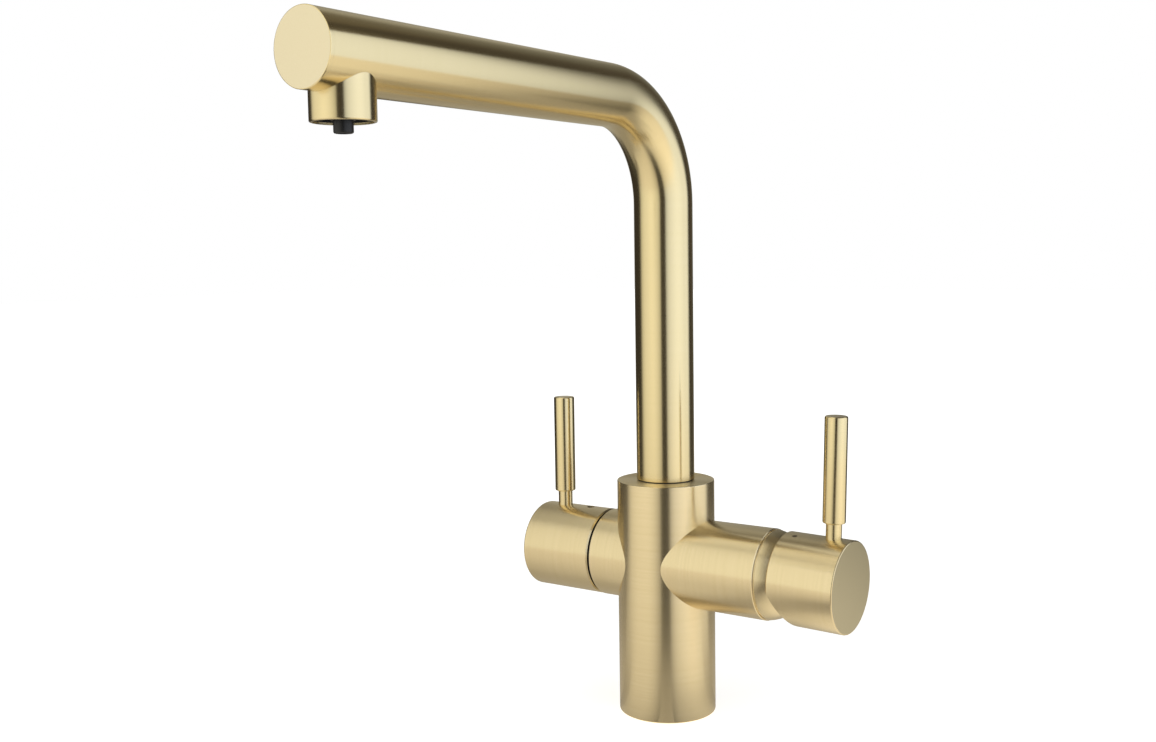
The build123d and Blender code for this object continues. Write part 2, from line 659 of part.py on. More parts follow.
def make_cartridge_turret():
    """Guide that turns with the handle, slotted for the carrier's boss and for the stem."""
    flange_r = CARTRIDGE_R - CARTRIDGE_WALL - FREE
    turret = rod(flange_r, TURRET_FLANGE_FOOT, TURRET_FLANGE_TOP)
    turret += rod(TURRET_R, TURRET_FLANGE_TOP - CUT, TURRET_END)
    travel = 2 * DISC_CLOSED_DROP
    window_width = 2 * (CARRIER_BOSS_R + BOSS_WINDOW_PLAY)
    window_low = TURRET_FLANGE_FOOT - CUT
    window_high = BOSS_TOP + BOSS_WINDOW_HEADROOM
    window = extrude(Rectangle(window_width + travel, window_width), window_high - window_low)
    boss_space = Pos(BALL_REST_UP + DISC_CLOSED_DROP, 0, window_low) * window
    slot = extrude(Rectangle(STEM_SLOT, STEM_SIDE + 2 * STEM_PLAY), TURRET_END + CUT - TURRET_FLANGE_FOOT)
    stem_slot = Pos(0, 0, TURRET_FLANGE_FOOT) * slot
    pin_hole = Pos(0, 0, PIVOT_OUT) * Rot(90, 0, 0) * rod(PIVOT_PIN_R + SEAT, -TURRET_R, TURRET_R)
    return MIXER_SIDE * (turret - boss_space - stem_slot - pin_hole)


def make_lever_pivot_pin():
    half = TURRET_R - PIVOT_PIN_INSET
    return MIXER_SIDE * Pos(0, 0, PIVOT_OUT) * Rot(90, 0, 0) * rod(PIVOT_PIN_R, -half, half)


def make_cartridge_moving_disc():
    """Ceramic disc with the mixing hollow in its lapped face, shut at rest."""
    disc = Pos(-DISC_CLOSED_DROP, 0, 0) * rod(MOVING_DISC_R, MOVING_DISC_FOOT, CARRIER_FOOT)
    outline = Rot(0, 0, 90) * SlotOverall(HOLLOW_LENGTH, HOLLOW_WIDTH)
    hollow = Pos(-HOLLOW_DOWN, 0, MOVING_DISC_FOOT - CUT) * extrude(outline, HOLLOW_DEPTH + CUT)
    return MIXER_SIDE * (disc - hollow)


def make_disc_carrier():
    """Carrier on the moving disc, with a boss and a pocket for the stem's ball."""
    plate = Pos(-DISC_CLOSED_DROP, 0, 0) * rod(MOVING_DISC_R - CARRIER_INSET, CARRIER_FOOT, CARRIER_TOP)
    boss = Pos(BALL_REST_UP, 0, 0) * rod(CARRIER_BOSS_R, CARRIER_FOOT, BOSS_TOP)
    pocket_foot = BALL_OUT - BALL_R - DISC_PLAY
    pocket = Pos(BALL_REST_UP, 0, 0) * rod(BALL_R + BALL_PLAY, pocket_foot, BOSS_TOP + CUT)
    return MIXER_SIDE * (plate + boss - pocket)


def make_cartridge_stem():
    """Square stem with a ball at its inner end, crossed by the pivot pin."""
    square_foot = PIVOT_OUT - STEM_SQUARE_UNDER_PIVOT
    stem = square_bar(STEM_SIDE, square_foot, STEM_END)
    stem = chamfer(stem.edges().group_by(Axis.Z)[-1], STEM_END_BREAK)
    stem += rod(STEM_NECK_R, BALL_OUT, square_foot + CUT)
    stem += Pos(0, 0, BALL_OUT) * Sphere(BALL_R)
    pin_hole = rod(PIVOT_PIN_R + RUNNING, -STEM_SIDE, STEM_SIDE)
    stem -= Pos(0, 0, PIVOT_OUT) * Rot(90, 0, 0) * pin_hole
    return tilted_closed(MIXER_SIDE * stem)


# ---------------------------------------------------------------- caps and levers
def cap_shell(rim, end, mouth_r, mouth_end, boss_r):
    """Turned cap: a wide mouth at the rim, then a ring-shaped hollow round a middle boss."""
    edge = CAP_EDGE_BREAK
    inner = CAP_R - CAP_WALL
    floor = end - CAP_END_WALL
    outside = turned(
        (0, rim),
        (CAP_R - edge, rim),
        (CAP_R, rim + edge),
        (CAP_R, end - edge),
        (CAP_R - edge, end),
        (0, end),
    )
    return outside - rod(mouth_r, rim - CUT, mouth_end) - ring(boss_r, inner, mouth_end - CUT, floor)


def lever_pad(out, boss_r):
    """Solid pad between a cap's boss and its wall, for the lever's threaded neck."""
    return upright(out, rod(LEVER_NECK_R + LEVER_PAD_WALL, boss_r - CUT, CAP_R - CUT))


def lever_hole(out):
    return upright(out, rod(LEVER_NECK_R + SEAT, LEVER_NECK_ROOT - FREE, CAP_R + CUT))


def make_lever(out):
    """Pin lever: a neck with its threaded root in the cap, a shoulder and a plain rod."""
    low = LEVER_SHOULDER_BREAK
    top = LEVER_TOP_BREAK
    return upright(
        out,
        turned(
            (0, LEVER_NECK_ROOT),
            (LEVER_NECK_R, LEVER_NECK_ROOT),
            (LEVER_NECK_R, LEVER_SHOULDER),
            (LEVER_R - low, LEVER_SHOULDER),
            (LEVER_R, LEVER_SHOULDER + low),
            (LEVER_R, LEVER_TOP - top),
            (LEVER_R - 0.3 * top, LEVER_TOP - 0.3 * top),
            (LEVER_R - top, LEVER_TOP),
            (0, LEVER_TOP),
        ),
    )


def index_hole(clearance):
    """Shallow round seat for the index dot, a little forward of the top."""
    low = CAP_R - INDEX_DOT_DEPTH - clearance
    seat = rod(INDEX_DOT_R + clearance, low, CAP_R + (CUT if clearance else -INDEX_DOT_SUNK))
    return Rot(0, 0, INDEX_TURN) * upright(INDEX_OUT, seat)


def rim_cut():
    """Slanted cut under the mixer cap's rim, the room that the tilted handle needs."""
    far = CAP_R + RIM_CUT_DEPTH
    slope = RIM_CUT_DEPTH / (CAP_R - RIM_CUT_DROP)
    corners = [
        (-RIM_CUT_DROP, 0, MIXER_CAP_RIM),
        (-RIM_CUT_DROP, 0, MIXER_CAP_RIM - CUT),
        (-far, 0, MIXER_CAP_RIM - CUT),
        (-far, 0, MIXER_CAP_RIM + slope * (far - RIM_CUT_DROP)),
    ]
    return extrude(make_face(Polyline(*corners, close=True)), CAP_R + CUT, both=True)


def make_mixer_cap():
    cap = cap_shell(MIXER_CAP_RIM, MIXER_CAP_END, MIXER_MOUTH_R, MIXER_BOSS_FOOT, MIXER_BOSS_R)
    cap += lever_pad(MIXER_LEVER_OUT, MIXER_BOSS_R)
    cap -= rim_cut()
    cap -= lever_hole(MIXER_LEVER_OUT)
    cap -= square_bar(STEM_SIDE + 2 * SOCKET_PLAY, MIXER_BOSS_FOOT - CUT, STEM_END + STEM_END_ROOM)
    cap -= hanging(MIXER_SCREW_OUT, rod(CAP_SCREW_R + SEAT, CUT, CAP_R + CUT))
    cap -= index_hole(SEAT)
    return tilted_closed(MIXER_SIDE * cap)


def make_mixer_lever():
    return tilted_closed(MIXER_SIDE * make_lever(MIXER_LEVER_OUT))


def make_mixer_grub_screw():
    screw = grub_screw(CAP_SCREW_R, MIXER_SCREW_LENGTH, CAP_SCREW_KEY)
    screw = Pos(0, 0, STEM_SIDE / 2 + SEAT) * screw
    return tilted_closed(MIXER_SIDE * hanging(MIXER_SCREW_OUT, screw))


def make_mixer_index_dot():
    return tilted_closed(MIXER_SIDE * index_hole(0))


def spindle_section(clearance, low, high):
    """Round bar with two flats, as the spindle's end and the cap's socket share it."""
    flats = Rectangle(2 * (SPINDLE_FLAT + clearance), 4 * SPINDLE_R)
    flats = Pos(0, 0, low) * extrude(flats, high - low)
    return rod(SPINDLE_R + clearance, low, high) & flats


def make_filter_cap():
    mouth_r = CAP_R - FILTER_MOUTH_WALL
    cap = cap_shell(FILTER_CAP_RIM, FILTER_CAP_END, mouth_r, FILTER_BOSS_FOOT, FILTER_BOSS_R)
    cap += lever_pad(FILTER_LEVER_OUT, FILTER_BOSS_R)
    cap -= lever_hole(FILTER_LEVER_OUT)
    cap -= spindle_section(SOCKET_PLAY, FILTER_BOSS_FOOT - CUT, SPINDLE_END + STEM_END_ROOM)
    cap -= upright(FILTER_SCREW_OUT, rod(CAP_SCREW_R + SEAT, CUT, CAP_R + CUT))
    return FILTER_SIDE * cap


def make_filter_lever():
    return FILTER_SIDE * make_lever(FILTER_LEVER_OUT)


def make_filter_grub_screw():
    screw = grub_screw(CAP_SCREW_R, FILTER_SCREW_LENGTH, CAP_SCREW_KEY)
    return FILTER_SIDE * upright(FILTER_SCREW_OUT, Pos(0, 0, SPINDLE_FLAT + SEAT) * screw)


# ---------------------------------------------------------------- filter valve

def make_filter_valve_body():
    """Screw-in headwork: open nose with side windows, thread, hexagon and spindle neck."""
    thread_foot = TURNING_DISC_FOOT - VALVE_THREAD_LEAD
    neck_bore = SPINDLE_R + RUNNING
    hexagon = RegularPolygon(VALVE_HEX_ACROSS_FLATS / 2, 6, major_radius=False)
    blank = turned(
        (0, VALVE_NOSE_FOOT),
        (VALVE_NOSE_R, VALVE_NOSE_FOOT),
        (VALVE_NOSE_R, thread_foot),
        (VALVE_THREAD_R, thread_foot),
        (VALVE_THREAD_R, FILTER_ARM_END + CUT),
        (VALVE_NECK_R, FILTER_ARM_END + CUT),
        (VALVE_NECK_R, VALVE_NECK_END),
        (0, VALVE_NECK_END),
    )
    flange_foot = FILTER_ARM_END + SEAT
    blank += Pos(0, 0, flange_foot) * extrude(hexagon, VALVE_HEX_END - flange_foot)
    blank -= rod(VALVE_BORE_R, VALVE_NOSE_FOOT - CUT, VALVE_BORE_END)
    blank -= rod(neck_bore, VALVE_BORE_END - CUT, VALVE_NECK_END + CUT)
    window_mid = FILTER_DISC_FOOT + FILTER_DISC_THICKNESS / 2
    window = Pos(0, 0, window_mid) * Box(VALVE_WINDOW_WIDTH, 3 * VALVE_NOSE_R, VALVE_WINDOW_HEIGHT)
    return FILTER_SIDE * (blank - window)


def disc_sectors(low, high):
    """Two opposite windows of a quarter-turn ceramic disc."""
    hole = Pos(0, 0, low) * extrude(SlotOverall(DISC_WINDOW_LENGTH, DISC_WINDOW_WIDTH), high - low)
    return [Pos(0, side, 0) * hole for side in (DISC_WINDOW_OUT, -DISC_WINDOW_OUT)]


def make_filter_fixed_disc():
    top = FILTER_DISC_FOOT + FILTER_DISC_THICKNESS
    disc = rod(FILTER_DISC_R, FILTER_DISC_FOOT, top)
    return FILTER_SIDE * (disc - disc_sectors(FILTER_DISC_FOOT - CUT, top + CUT))


def make_filter_turning_disc():
    disc = rod(FILTER_DISC_R, TURNING_DISC_FOOT, TURNING_DISC_TOP)
    slot_foot = TURNING_DISC_TOP - TONGUE_DEPTH - LOOSE
    disc -= [Rot(0, 0, 90) * hole for hole in disc_sectors(TURNING_DISC_FOOT - CUT, slot_foot)]
    slot = Pos(0, 0, slot_foot) * extrude(Rectangle(TONGUE_WIDTH + LOOSE, 4 * VALVE_BORE_R), TONGUE_LENGTH)
    return FILTER_SIDE * (disc - slot)


def make_filter_seat_seal():
    seal = ring(SEAT_SEAL_BORE_R, FILTER_DISC_R, VALVE_SEAT + SEAT, FILTER_DISC_FOOT - SEAT)
    return FILTER_SIDE * seal


def make_filter_valve_oring():
    outer = VALVE_THREAD_R + VALVE_SEAL_DEPTH - SEAT
    return FILTER_SIDE * o_ring(VALVE_THREAD_R + SEAT, outer, FILTER_ARM_END - VALVE_SEAL_DEPTH / 2)


def make_filter_gap_ring():
    """Dark ring on the arm's end, seen as the thin gap behind the cap."""
    inner = VALVE_HEX_ACROSS_FLATS / math.sqrt(3) + VALVE_HEX_CLEARANCE
    top = FILTER_CAP_RIM - GAP_RING_CLEARANCE
    return FILTER_SIDE * ring(inner, ARM_R - GAP_RING_INSET, FILTER_ARM_END + SEAT, top)


def make_filter_spindle():
    """Spindle with a tongue that turns the disc, an O-ring groove, a clip groove and two flats."""
    tongue = extrude(Rectangle(TONGUE_WIDTH, TONGUE_LENGTH), TONGUE_DEPTH + CUT)
    clip_foot = VALVE_NECK_END + CLIP_LIFT
    clip_top = clip_foot + CLIP_THICKNESS
    half = SPINDLE_GROOVE_WIDTH / 2
    outside = SPINDLE_R + CUT
    shaft = rod(SPINDLE_R, TURNING_DISC_TOP + SEAT, clip_top + CLIP_LIFT)
    shaft += spindle_section(0, clip_top, SPINDLE_END)
    shaft += rod(FILTER_DISC_R, TURNING_DISC_TOP + SEAT, SPINDLE_FLANGE_TOP)
    shaft += Pos(0, 0, TURNING_DISC_TOP - TONGUE_DEPTH) * tongue
    shaft -= ring(SPINDLE_R - SPINDLE_GROOVE, outside, SPINDLE_GROOVE_MID - half, SPINDLE_GROOVE_MID + half)
    shaft -= ring(SPINDLE_R - CLIP_GROOVE, outside, clip_foot - RUNNING, clip_top + RUNNING)
    return FILTER_SIDE * shaft


def make_spindle_oring():
    outer = SPINDLE_R + RUNNING - SEAL_SQUEEZE
    return FILTER_SIDE * o_ring(SPINDLE_R - SPINDLE_GROOVE + SEAT, outer, SPINDLE_GROOVE_MID)


def make_spindle_clip():
    """Open spring clip that keeps the spindle in its neck."""
    inner = SPINDLE_R - CLIP_GROOVE + SEAT
    foot = VALVE_NECK_END + CLIP_LIFT
    clip = ring(inner, SPINDLE_R + CLIP_PROUD, foot, foot + CLIP_THICKNESS)
    mouth = Pos(0, -2 * SPINDLE_R, foot) * Box(CLIP_MOUTH, 4 * SPINDLE_R, 4 * CLIP_THICKNESS)
    return FILTER_SIDE * (clip - mouth)


# ---------------------------------------------------------------- spout
def nozzle_saddle(radius):
    """Round bar along the spout's reach, which cuts what sits under it to its curve."""
    return Pos(0, 0, SPOUT_AXIS_Z) * Rot(90, 0, 0) * rod(radius, SPOUT_BEND_R, SPOUT_REACH + NOZZLE_R)


def make_spout_tube():
    path = spout_path(-TUBE_END_Y, SPOUT_FOOT_Z)
    tube = swept_round(TUBE_R, path) - swept_round(TUBE_BORE_R, path)
    return tube - NOZZLE_AXIS * rod(SPOUT_WATER_HOLE_R, CAGE_TOP, SPOUT_AXIS_Z)


def make_spout_end_cap():
    """Flat disc brazed into the tube's end, with a locating plug behind it."""
    edge = END_CAP_BREAK
    plug_r = TUBE_BORE_R - SEAT
    cap = turned(
        (0, TUBE_END_Y - END_CAP_PLUG),
        (plug_r, TUBE_END_Y - END_CAP_PLUG),
        (plug_r, TUBE_END_Y + SEAT),
        (TUBE_R, TUBE_END_Y + SEAT),
        (TUBE_R, SPOUT_REACH - edge),
        (TUBE_R - edge, SPOUT_REACH),
        (0, SPOUT_REACH),
    )
    cap -= rod(plug_r - END_CAP_PLUG_WALL, TUBE_END_Y - END_CAP_PLUG - CUT, TUBE_END_Y - END_CAP_PLUG_FLOOR)
    return Pos(0, 0, SPOUT_AXIS_Z) * Rot(90, 0, 0) * cap


def make_spout_spigot():
    """Brazed into the column's foot; grooved for two seals and for the retaining screw."""
    insert_r = TUBE_BORE_R - SEAT
    edge = SPIGOT_EDGE_BREAK
    spigot = turned(
        (SPIGOT_BORE_R, SPIGOT_FOOT_Z),
        (SPIGOT_R - edge, SPIGOT_FOOT_Z),
        (SPIGOT_R, SPIGOT_FOOT_Z + edge),
        (SPIGOT_R, SPOUT_FOOT_Z),
        (insert_r, SPOUT_FOOT_Z),
        (insert_r, SPOUT_FOOT_Z + SPIGOT_INSERT),
        (SPIGOT_BORE_R, SPOUT_FOOT_Z + SPIGOT_INSERT),
    )
    outside = SPIGOT_R + CUT
    spigot -= [ring(SPIGOT_GROOVE_R, outside, z - ORING_WIDTH / 2, z + ORING_WIDTH / 2) for z in ORING_ZS]
    half = RETAINING_SCREW_R + RETAINING_GROOVE_PLAY
    return spigot - ring(SPIGOT_GROOVE_R, outside, RETAINING_SCREW_Z - half, RETAINING_SCREW_Z + half)


def make_spigot_orings():
    outer = SPIGOT_R + RUNNING - SEAL_SQUEEZE
    return Compound(children=[o_ring(SPIGOT_GROOVE_R + SEAT, outer, z) for z in ORING_ZS])


def make_filter_elbow():
    """Push-fit elbow inside the spout, from the inner tube down to the filter outlet."""
    socket = FILTER_TUBE_R + SEAT
    leg = rod(ELBOW_R, 0, ELBOW_LEG)
    open_leg = rod(socket, ELBOW_LEG - ELBOW_SOCKET, ELBOW_LEG + CUT) + rod(FILTER_TUBE_BORE_R, 0, ELBOW_LEG)
    to_column = Rot(-90, 0, 0)
    downwards = Rot(180, 0, 0)
    elbow = Sphere(ELBOW_R) + to_column * leg + downwards * leg
    elbow -= [to_column * open_leg, downwards * open_leg]
    return Pos(0, -NOZZLE_REACH, SPOUT_AXIS_Z) * elbow


def make_filter_tube():
    start_y = -NOZZLE_REACH + ELBOW_LEG - ELBOW_SOCKET + SEAT
    path = spout_path(start_y, FILTER_TUBE_FOOT_Z)
    return swept_round(FILTER_TUBE_R, path) - swept_round(FILTER_TUBE_BORE_R, path)


def make_nozzle_housing():
    """Short round housing, cut to the spout's curve and bored for the aerator."""
    edge = NOZZLE_RIM_BREAK
    housing = turned(
        (NOZZLE_BORE_R, NOZZLE_RIM_Z),
        (NOZZLE_R - edge, NOZZLE_RIM_Z),
        (NOZZLE_R, NOZZLE_RIM_Z + edge),
        (NOZZLE_R, SPOUT_AXIS_Z),
        (NOZZLE_BORE_R, SPOUT_AXIS_Z),
    )
    return NOZZLE_AXIS * housing - nozzle_saddle(TUBE_R + SEAT)


def make_aerator_cage():
    """Screwed ring with a hub for the filter outlet, joined by flat spokes."""
    cage = ring(CAGE_BORE_R, CAGE_R, CAGE_FOOT, CAGE_TOP)
    cage += ring(HUB_BORE_R, HUB_R, CAGE_FOOT, CAGE_TOP)
    spoke_length = CAGE_BORE_R - HUB_R + 2 * SPOKE_ROOT
    spoke_mid = (CAGE_BORE_R + HUB_R) / 2
    spoke = Pos(spoke_mid, 0, CAGE_FOOT + SPOKE_LIFT) * Box(spoke_length, SPOKE_WIDTH, SPOKE_HEIGHT)
    cage += [Rot(0, 0, turn * 360 / SPOKES) * spoke for turn in range(SPOKES)]
    return NOZZLE_AXIS * cage


def make_flow_straightener():
    """Two rings joined by thin radial vanes that calm the stream."""
    low, high = STRAIGHTENER_FOOT, STRAIGHTENER_TOP
    inner = HUB_R + SEAT
    outer = CAGE_BORE_R - SEAT
    wall = STRAIGHTENER_RING
    rings = ring(inner, inner + wall, low, high) + ring(outer - wall, outer, low, high)
    vane = Box(outer - inner - wall, VANE_THICKNESS, high - low)
    vane = Pos((inner + outer) / 2, 0, (low + high) / 2) * vane
    return NOZZLE_AXIS * (rings + [Rot(0, 0, turn * 360 / VANES) * vane for turn in range(VANES)])


def make_aerator_screen():
    """Thin pierced disc over the straightener."""
    low = STRAIGHTENER_TOP + SEAT
    high = low + SCREEN_THICKNESS
    disc = ring(HUB_R + SEAT, CAGE_BORE_R - SEAT, low, high)
    hole = Pos((HUB_R + CAGE_BORE_R) / 2, 0, 0) * rod(SCREEN_HOLE_R, low - CUT, high + CUT)
    holes = [Rot(0, 0, turn * 360 / SCREEN_HOLES) * hole for turn in range(SCREEN_HOLES)]
    return NOZZLE_AXIS * (disc - holes)


def make_aerator_washer():
    low = CAGE_TOP + SEAT
    return NOZZLE_AXIS * ring(CAGE_R - WASHER_WIDTH, CAGE_R, low, low + WASHER_THICKNESS)


def make_filter_nozzle():
    """Inner outlet for filtered water: a round tip, a flange on the hub and a stem up to the elbow."""
    flange_foot = CAGE_TOP + SEAT
    flange_top = flange_foot + OUTLET_FLANGE
    stem_top = SPOUT_AXIS_Z - ELBOW_LEG + ELBOW_SOCKET - SEAT
    tip = FILTER_OUTLET_TIP_Z
    edge = OUTLET_TIP_BREAK
    nozzle = turned(
        (FILTER_OUTLET_BORE_R, tip),
        (FILTER_OUTLET_R - edge, tip),
        (FILTER_OUTLET_R - edge / 4, tip + edge / 3),
        (FILTER_OUTLET_R, tip + edge),
        (FILTER_OUTLET_R, flange_foot),
        (HUB_R, flange_foot),
        (HUB_R, flange_top),
        (FILTER_TUBE_R, flange_top),
        (FILTER_TUBE_R, stem_top),
        (FILTER_OUTLET_BORE_R, stem_top),
    )
    return NOZZLE_AXIS * nozzle


# ---------------------------------------------------------------- all pieces
PIECES = {
    "tap_body": make_tap_body,
    "mixer_arm": make_mixer_arm,
    "filter_arm": make_filter_arm,
    "base_seal": make_base_seal,
    "spout_bush": make_spout_bush,
    "spout_grub_screw": make_spout_grub_screw,
    "filter_tube_seal": make_filter_tube_seal,
    "cartridge_housing": make_cartridge_housing,
    "cartridge_seals": make_cartridge_seals,
    "cartridge_fixed_disc": make_cartridge_fixed_disc,
    "cartridge_nut": make_cartridge_nut,
    "mixer_collar": make_mixer_collar,
    "cartridge_turret": make_cartridge_turret,
    "lever_pivot_pin": make_lever_pivot_pin,
    "cartridge_moving_disc": make_cartridge_moving_disc,
    "disc_carrier": make_disc_carrier,
    "cartridge_stem": make_cartridge_stem,
    "mixer_cap": make_mixer_cap,
    "mixer_lever": make_mixer_lever,
    "mixer_grub_screw": make_mixer_grub_screw,
    "mixer_index_dot": make_mixer_index_dot,
    "filter_valve_body": make_filter_valve_body,
    "filter_valve_oring": make_filter_valve_oring,
    "filter_seat_seal": make_filter_seat_seal,
    "filter_fixed_disc": make_filter_fixed_disc,
    "filter_gap_ring": make_filter_gap_ring,
    "filter_turning_disc": make_filter_turning_disc,
    "filter_spindle": make_filter_spindle,
    "spindle_oring": make_spindle_oring,
    "spindle_clip": make_spindle_clip,
    "filter_cap": make_filter_cap,
    "filter_lever": make_filter_lever,
    "filter_grub_screw": make_filter_grub_screw,
    "spout_tube": make_spout_tube,
    "spout_end_cap": make_spout_end_cap,
    "spout_spigot": make_spout_spigot,
    "spigot_orings": make_spigot_orings,
    "filter_tube": make_filter_tube,
    "filter_elbow": make_filter_elbow,
    "nozzle_housing": make_nozzle_housing,
    "aerator_cage": make_aerator_cage,
    "flow_straightener": make_flow_straightener,
    "aerator_screen": make_aerator_screen,
    "aerator_washer": make_aerator_washer,
    "filter_nozzle": make_filter_nozzle,
}

os.makedirs("parts", exist_ok=True)
for node, make in PIECES.items():
    export_step(make(), f"parts/{node}.step")
print(len(PIECES), "pieces written")
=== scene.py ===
# %% [markdown]
# # A three way filtered water tap in brushed brass
#
# The tap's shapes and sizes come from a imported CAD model. This lesson loads it as a fixed frame, sets up a
# small photo studio round it, and then dresses it piece by piece: each part that shows gets a smooth,
# finely divided mesh with its broken edges, and every part gets the finish that its maker would give it.

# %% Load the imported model
import math

import bpy
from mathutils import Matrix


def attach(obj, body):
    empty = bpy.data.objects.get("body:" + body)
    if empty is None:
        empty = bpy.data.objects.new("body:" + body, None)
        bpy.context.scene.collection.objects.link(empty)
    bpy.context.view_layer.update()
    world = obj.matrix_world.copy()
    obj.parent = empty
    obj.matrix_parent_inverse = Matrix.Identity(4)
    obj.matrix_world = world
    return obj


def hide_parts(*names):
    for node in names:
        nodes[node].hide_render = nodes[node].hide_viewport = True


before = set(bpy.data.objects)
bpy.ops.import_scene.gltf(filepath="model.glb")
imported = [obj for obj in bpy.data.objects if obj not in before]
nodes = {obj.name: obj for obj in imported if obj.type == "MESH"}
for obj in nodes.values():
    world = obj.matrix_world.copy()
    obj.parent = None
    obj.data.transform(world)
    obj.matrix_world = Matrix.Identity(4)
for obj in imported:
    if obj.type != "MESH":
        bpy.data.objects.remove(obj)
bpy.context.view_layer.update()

# %% [markdown]
# ## Sizes
#
# A tap is drawn in millimetres and Blender works in metres, so one small function turns one into the other.
# The sizes below are the ones that several pieces share. Sharing a name instead of typing a number twice is
# what keeps a cap concentric with its arm and a lever in the middle of its hole.

# %% Shared sizes in millimetres
def mm(value):
    """Millimetres in metres."""
    return value / 1000


BODY_RADIUS = 24.0
BODY_TOP = 116.25
ARM_RADIUS = 21.75
ARM_HEIGHT = 76.0
MIXER_ARM_END = 59.1
FILTER_ARM_END = 32.2
CAP_RADIUS = 21.6
MIXER_LEVER_OUT = 89.4
FILTER_LEVER_OUT = -61.7
PIVOT_OUT = 56.0
CLOSED_DROOP = 1.2  # degrees that the shut mixer handle leans by
TUBE_RADIUS = 14.25
TUBE_WALL = 1.5
SPOUT_HEIGHT = 299.6
SPOUT_BEND = 48.4
SPOUT_END = 228.5
SPOUT_FOOT = 116.9
NOZZLE_OUT = 211.8
SEAM = 0.002  # corners nearer than this are one corner
print("body", 2 * BODY_RADIUS, "mm, arms", 2 * ARM_RADIUS, "mm, spout tube", 2 * TUBE_RADIUS, "mm")

# %% [markdown]
# ## The camera
#
# The photograph was taken from the mixer's side, a little above the worktop, with a lens of about 40 mm on
# a full frame. The camera could be placed by eye, but a metal tube shows a wrong angle at once. So its place
# and turn were worked out from the outline of the tap itself, and nothing is shifted or cropped to fit.

# %% Camera
camera_data = bpy.data.cameras.new("camera")
camera_data.sensor_width = 36.0
camera_data.lens = 40.216
camera_data.clip_start = 0.01
camera = bpy.data.objects.new("camera", camera_data)
bpy.context.scene.collection.objects.link(camera)
camera.location = (0.334801, -0.537992, 0.229065)
camera.rotation_euler = [math.radians(angle) for angle in (84.7211, 0.8876, 35.6669)]
bpy.context.scene.camera = camera
bpy.context.scene.view_settings.view_transform = "Standard"
print("camera at", tuple(camera.location), "lens", camera_data.lens)

# %% [markdown]
# ## Colours and nodes
#
# Colours are written as the hex values that a picture editor shows and are turned to linear light in one
# place. One small function adds a shader node, sets its values and links its inputs, so that a material
# reads from top to bottom like a recipe.

# %% Colour and node helpers
def linear(hex_colour):
    """A hex colour as a screen shows it, in linear light with an alpha of 1."""
    channels = [int(hex_colour[i:i + 2], 16) / 255 for i in (1, 3, 5)]
    return [c / 12.92 if c <= 0.04045 else ((c + 0.055) / 1.055) ** 2.4 for c in channels] + [1.0]


def add_node(tree, kind, links=None, settings=None, **values):
    """Adds a shader node. settings are its properties, values its sockets, links what feeds its sockets."""
    node = tree.nodes.new(kind)
    for name, value in (settings or {}).items():
        setattr(node, name, value)
    for name, value in values.items():
        socket = node.inputs[int(name[1:])] if name[1:].isdigit() else node.inputs[name.replace("_", " ")]
        socket.default_value = value
    for name, source in (links or {}).items():
        tree.links.new(source, node.inputs[name])
    return node


def new_material(name):
    """An empty node material and its tree."""
    material = bpy.data.materials.new(name)
    material.use_nodes = True
    material.node_tree.nodes.clear()
    return material, material.node_tree


def finish_material(tree, shader):
    """Ends a recipe: what the shader gives is what the surface shows."""
    add_node(tree, "ShaderNodeOutputMaterial", links={"Surface": shader})


print("mid grey #808080 in linear light:", round(linear("#808080")[0], 3))

# %% [markdown]
# ## The studio
#
# Metal has almost no look of its own: it shows what stands round it. The photograph's tap has a dark line
# down the middle of each upright, broad pale bands on both sides and dark edges. That is the mark of two
# big soft boxes with a gap between them for the camera, and dark cards behind them. Lamps would do for a
# painted object, but on brass they leave hard spots. So the studio is a ring of tall curved cards round the
# tap, hidden from the camera's direct view: they show only as light and reflections, as they would outside
# the frame of a real picture. A real soft box is brightest in its middle and falls off towards its ends, so
# every card carries a level of its own at each corner.

# %% Card levels
TENT_RADIUS = 0.95
CAMERA_BEARING = math.degrees(math.atan2(camera.location.y, camera.location.x))


def level_at(place, levels):
    """The level at a place, read off a line through (place, level) pairs."""
    for (near, near_level), (far, far_level) in zip(levels, levels[1:]):
        if place <= far:
            return near_level + (far_level - near_level) * (place - near) / (far - near)
    return levels[-1][1]


def ring_place(turn, distance, height):
    """A point round the tap, by its bearing from the camera's in degrees and its distance in metres."""
    bearing = math.radians(CAMERA_BEARING + turn)
    return distance * math.cos(bearing), distance * math.sin(bearing), height


def hidden_card(name, verts, faces, levels, material):
    """A card that shows only as light and reflections. levels holds one glow level for each corner."""
    mesh = bpy.data.meshes.new(name)
    mesh.from_pydata(verts, [], faces)
    mesh.attributes.new("level", "FLOAT", "POINT").data.foreach_set("value", levels)
    card = bpy.data.objects.new(name, mesh)
    bpy.context.scene.collection.objects.link(card)
    card.data.materials.append(material)
    card.visible_camera = False
    card.visible_shadow = False
    return card


print("studio ring", TENT_RADIUS, "m round the tap, camera bearing", round(CAMERA_BEARING, 1))

# %% [markdown]
# ### Standing and lying cards
#
# A standing card is a strip bent round the tap, and a lying card is a sector of a disc. Both are made of
# narrow faces, because the level runs straight from corner to corner and only a narrow face can follow a
# soft fall-off.

# %% Card makers
STANDING_STEP = 2  # degrees a face
LYING_STEP = 3


